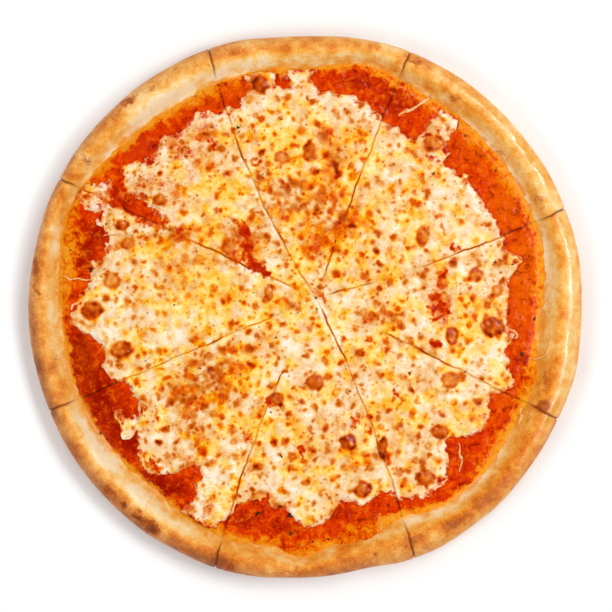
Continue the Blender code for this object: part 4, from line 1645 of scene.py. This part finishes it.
def crust_material():
    g = Graph("baked_dough")
    grain = g.noise(1.1, 4.0, 0.65)
    patch = g.noise(9.0, 5.0, 0.62, 0.5)
    shine = g.value("shine")
    bake_and_painted_light = g.add(g.value("bake_and_painted_light"), g.span(patch, 0.3, 0.7, -0.10, 0.10))
    bake_and_painted_light = g.add(bake_and_painted_light, g.span(grain, 0.3, 0.7, -0.08, 0.08))
    golden = g.ramp(
        bake_and_painted_light,
        (0.05, 253, 230, 188), (0.22, 251, 206, 128), (0.42, 244, 168, 62), (0.62, 226, 122, 20),
        (0.9, 162, 68, 4),
    )
    shaded_dough = g.ramp(
        bake_and_painted_light,
        (0.05, 250, 230, 198), (0.22, 243, 204, 148), (0.42, 230, 168, 98), (0.62, 206, 132, 68),
        (0.9, 150, 82, 40),
    )
    # Painted shade: dry turns the outer side away from the light towards these duller colours.
    colour = g.mix(golden, shaded_dough, g.value("dry"))
    burn = g.add(g.value("burn"), g.span(grain, 0.3, 0.7, -0.08, 0.08))
    burnt = g.ramp(
        burn, (0.08, 222, 130, 44), (0.36, 180, 84, 18), (0.72, 104, 42, 12)
    )
    colour = g.mix(colour, burnt, g.span(burn, 0.05, 0.38, 0.0, 0.9))
    stain = g.add(g.value("stain"), g.span(patch, 0.3, 0.7, -0.2, 0.2))
    colour = g.mix(colour, tint(238, 148, 44), g.span(stain, 0.20, 1.0, 0.0, 0.85))
    leopard = g.cells(11.0)
    spots = g.times(g.value("under"), g.span(leopard, 0.42, 0.12))
    colour = g.mix(colour, tint(140, 74, 30), g.times(spots, 0.7))
    # Painted shade: the dough is darkened along the cut grooves.
    colour = g.mix(colour, tint(128, 52, 12), g.times(g.value("cut"), 0.9))
    rough = g.span(grain, 0.3, 0.7, 0.50, 0.64)
    rough = g.minus(rough, g.times(shine, 0.44))
    height = g.math("MULTIPLY_ADD", g.noise(0.5, 3.0, 0.6), 0.35, grain)
    g.link(g.span(shine, 0.0, 0.9, 0.4, 1.0), g.shader.inputs["Specular IOR Level"])
    return g.finish(
        colour,
        rough,
        g.bump(height, 0.22, g.span(shine, 0.0, 1.0, 0.5, 0.16)),
        Subsurface_Weight=0.06,
        Subsurface_Radius=(1.0, 0.6, 0.3),
        Subsurface_Scale=0.002,
    )


def strand_material():
    g = Graph("cheese_strand")
    grain = g.noise(1.2, 3.0, 0.6)
    colour = g.mix(tint(250, 204, 140), tint(236, 150, 70), g.span(grain, 0.40, 0.62))
    rough = g.span(grain, 0.3, 0.7, 0.24, 0.38)
    return g.finish(colour, rough, g.bump(grain, 0.2, 0.4), **CHEESE_GLOW)


def herb_material():
    g = Graph("dried_herb")
    grain = g.noise(0.7, 3.0, 0.6)
    colour = g.mix(tint(70, 54, 20), tint(34, 16, 8), g.span(grain, 0.4, 0.6))
    rough = g.span(grain, 0.3, 0.7, 0.35, 0.55)
    return g.finish(colour, rough, g.bump(grain, 0.15, 0.5), Specular_IOR_Level=0.15)


def floor_material():
    g = Graph("pale_floor")
    g.shader.inputs["Base Color"].default_value = (0.95, 0.95, 0.95, 1.0)
    g.shader.inputs["Roughness"].default_value = 0.9
    return g.material


# ---------------------------------------------------------------- pieces
CHEESE_LOOK = cheese_material()
SAUCE_LOOK = sauce_material()
CRUST_LOOK = crust_material()
for slice_number in range(1, SLICES + 1):
    crust_slice(slice_number, CRUST_LOOK)
    sauce_slice(slice_number, SAUCE_LOOK)
    cheese_slice(slice_number, CHEESE_LOOK)
make_strands(strand_material())
make_herbs(herb_material())


# ---------------------------------------------------------------- floor, lights and camera
FLOOR_SIZE = 6.0
CAMERA_LENS = 150.0
SENSOR_WIDTH = 36.0
# Height in mm at which the photograph's scale holds
FRAMING_HEIGHT = 8.0
FRAME_CENTRE_PX = (306, 306)
WORLD_STRENGTH = 0.11
# Lights: name, azimuth, tilt from straight above, distance, width, depth, power in watts, and
# whether the food mirrors them
LIGHTS = (
    ("key_light", 32, 38, 1.5, 1.3, 0.42, 13.0, True),
    ("side_light", 345, 40, 1.5, 0.8, 0.30, 4.2, True),
    ("fill_light", 122, 52, 1.6, 1.0, 1.0, 6.1, False),
    ("fill_light", 212, 52, 1.6, 1.0, 1.0, 12.0, False),
    ("fill_light", 302, 52, 1.6, 1.0, 1.0, 3.0, False),
)


def make_floor():
    half = FLOOR_SIZE / 2
    mesh = bpy.data.meshes.new("floor")
    corners = [(-half, -half, 0), (half, -half, 0), (half, half, 0), (-half, half, 0)]
    mesh.from_pydata(corners, [], [(0, 1, 2, 3)])
    floor = bpy.data.objects.new("floor", mesh)
    mesh.materials.append(floor_material())
    bpy.context.scene.collection.objects.link(floor)


def softbox(name, azimuth, tilt, distance, width, depth, power, mirrored):
    """Area light aimed at the pizza, tilted away from straight above. One that is not
    mirrored lights the food without showing in its gloss."""
    light = bpy.data.lights.new(name, "AREA")
    light.shape = "RECTANGLE"
    light.size = width
    light.size_y = depth
    light.energy = power
    lamp = bpy.data.objects.new(name, light)
    turn = math.radians(azimuth)
    lean = math.radians(tilt)
    aside = math.sin(lean)
    toward = Vector((aside * math.cos(turn), aside * math.sin(turn), math.cos(lean)))
    lamp.location = toward * distance
    lamp.rotation_mode = "QUATERNION"
    lamp.rotation_quaternion = toward.to_track_quat("Z", "Y")
    lamp.visible_glossy = mirrored
    bpy.context.scene.collection.objects.link(lamp)


def make_world():
    world = bpy.data.worlds.new("studio")
    world.use_nodes = True
    background = world.node_tree.nodes["Background"]
    background.inputs["Color"].default_value = (1.0, 1.0, 1.0, 1.0)
    background.inputs["Strength"].default_value = WORLD_STRENGTH
    world.cycles_visibility.glossy = False
    bpy.context.scene.world = world


def make_camera():
    """Camera straight above, so that the photograph's pixels fall where they are there."""
    camera = bpy.data.cameras.new("camera")
    camera.lens = CAMERA_LENS
    camera.sensor_width = SENSOR_WIDTH
    eye = bpy.data.objects.new("camera", camera)
    x, y = from_photo(*FRAME_CENTRE_PX)
    distance = PHOTO_SIZE * MM_PER_PX * CAMERA_LENS / SENSOR_WIDTH
    eye.location = (x * MM, y * MM, (distance + FRAMING_HEIGHT) * MM)
    bpy.context.scene.collection.objects.link(eye)
    bpy.context.scene.camera = eye


make_floor()
for light_row in LIGHTS:
    softbox(*light_row)
make_world()
make_camera()
bpy.context.scene.view_settings.view_transform = "Standard"
bpy.context.scene.view_settings.look = "None"
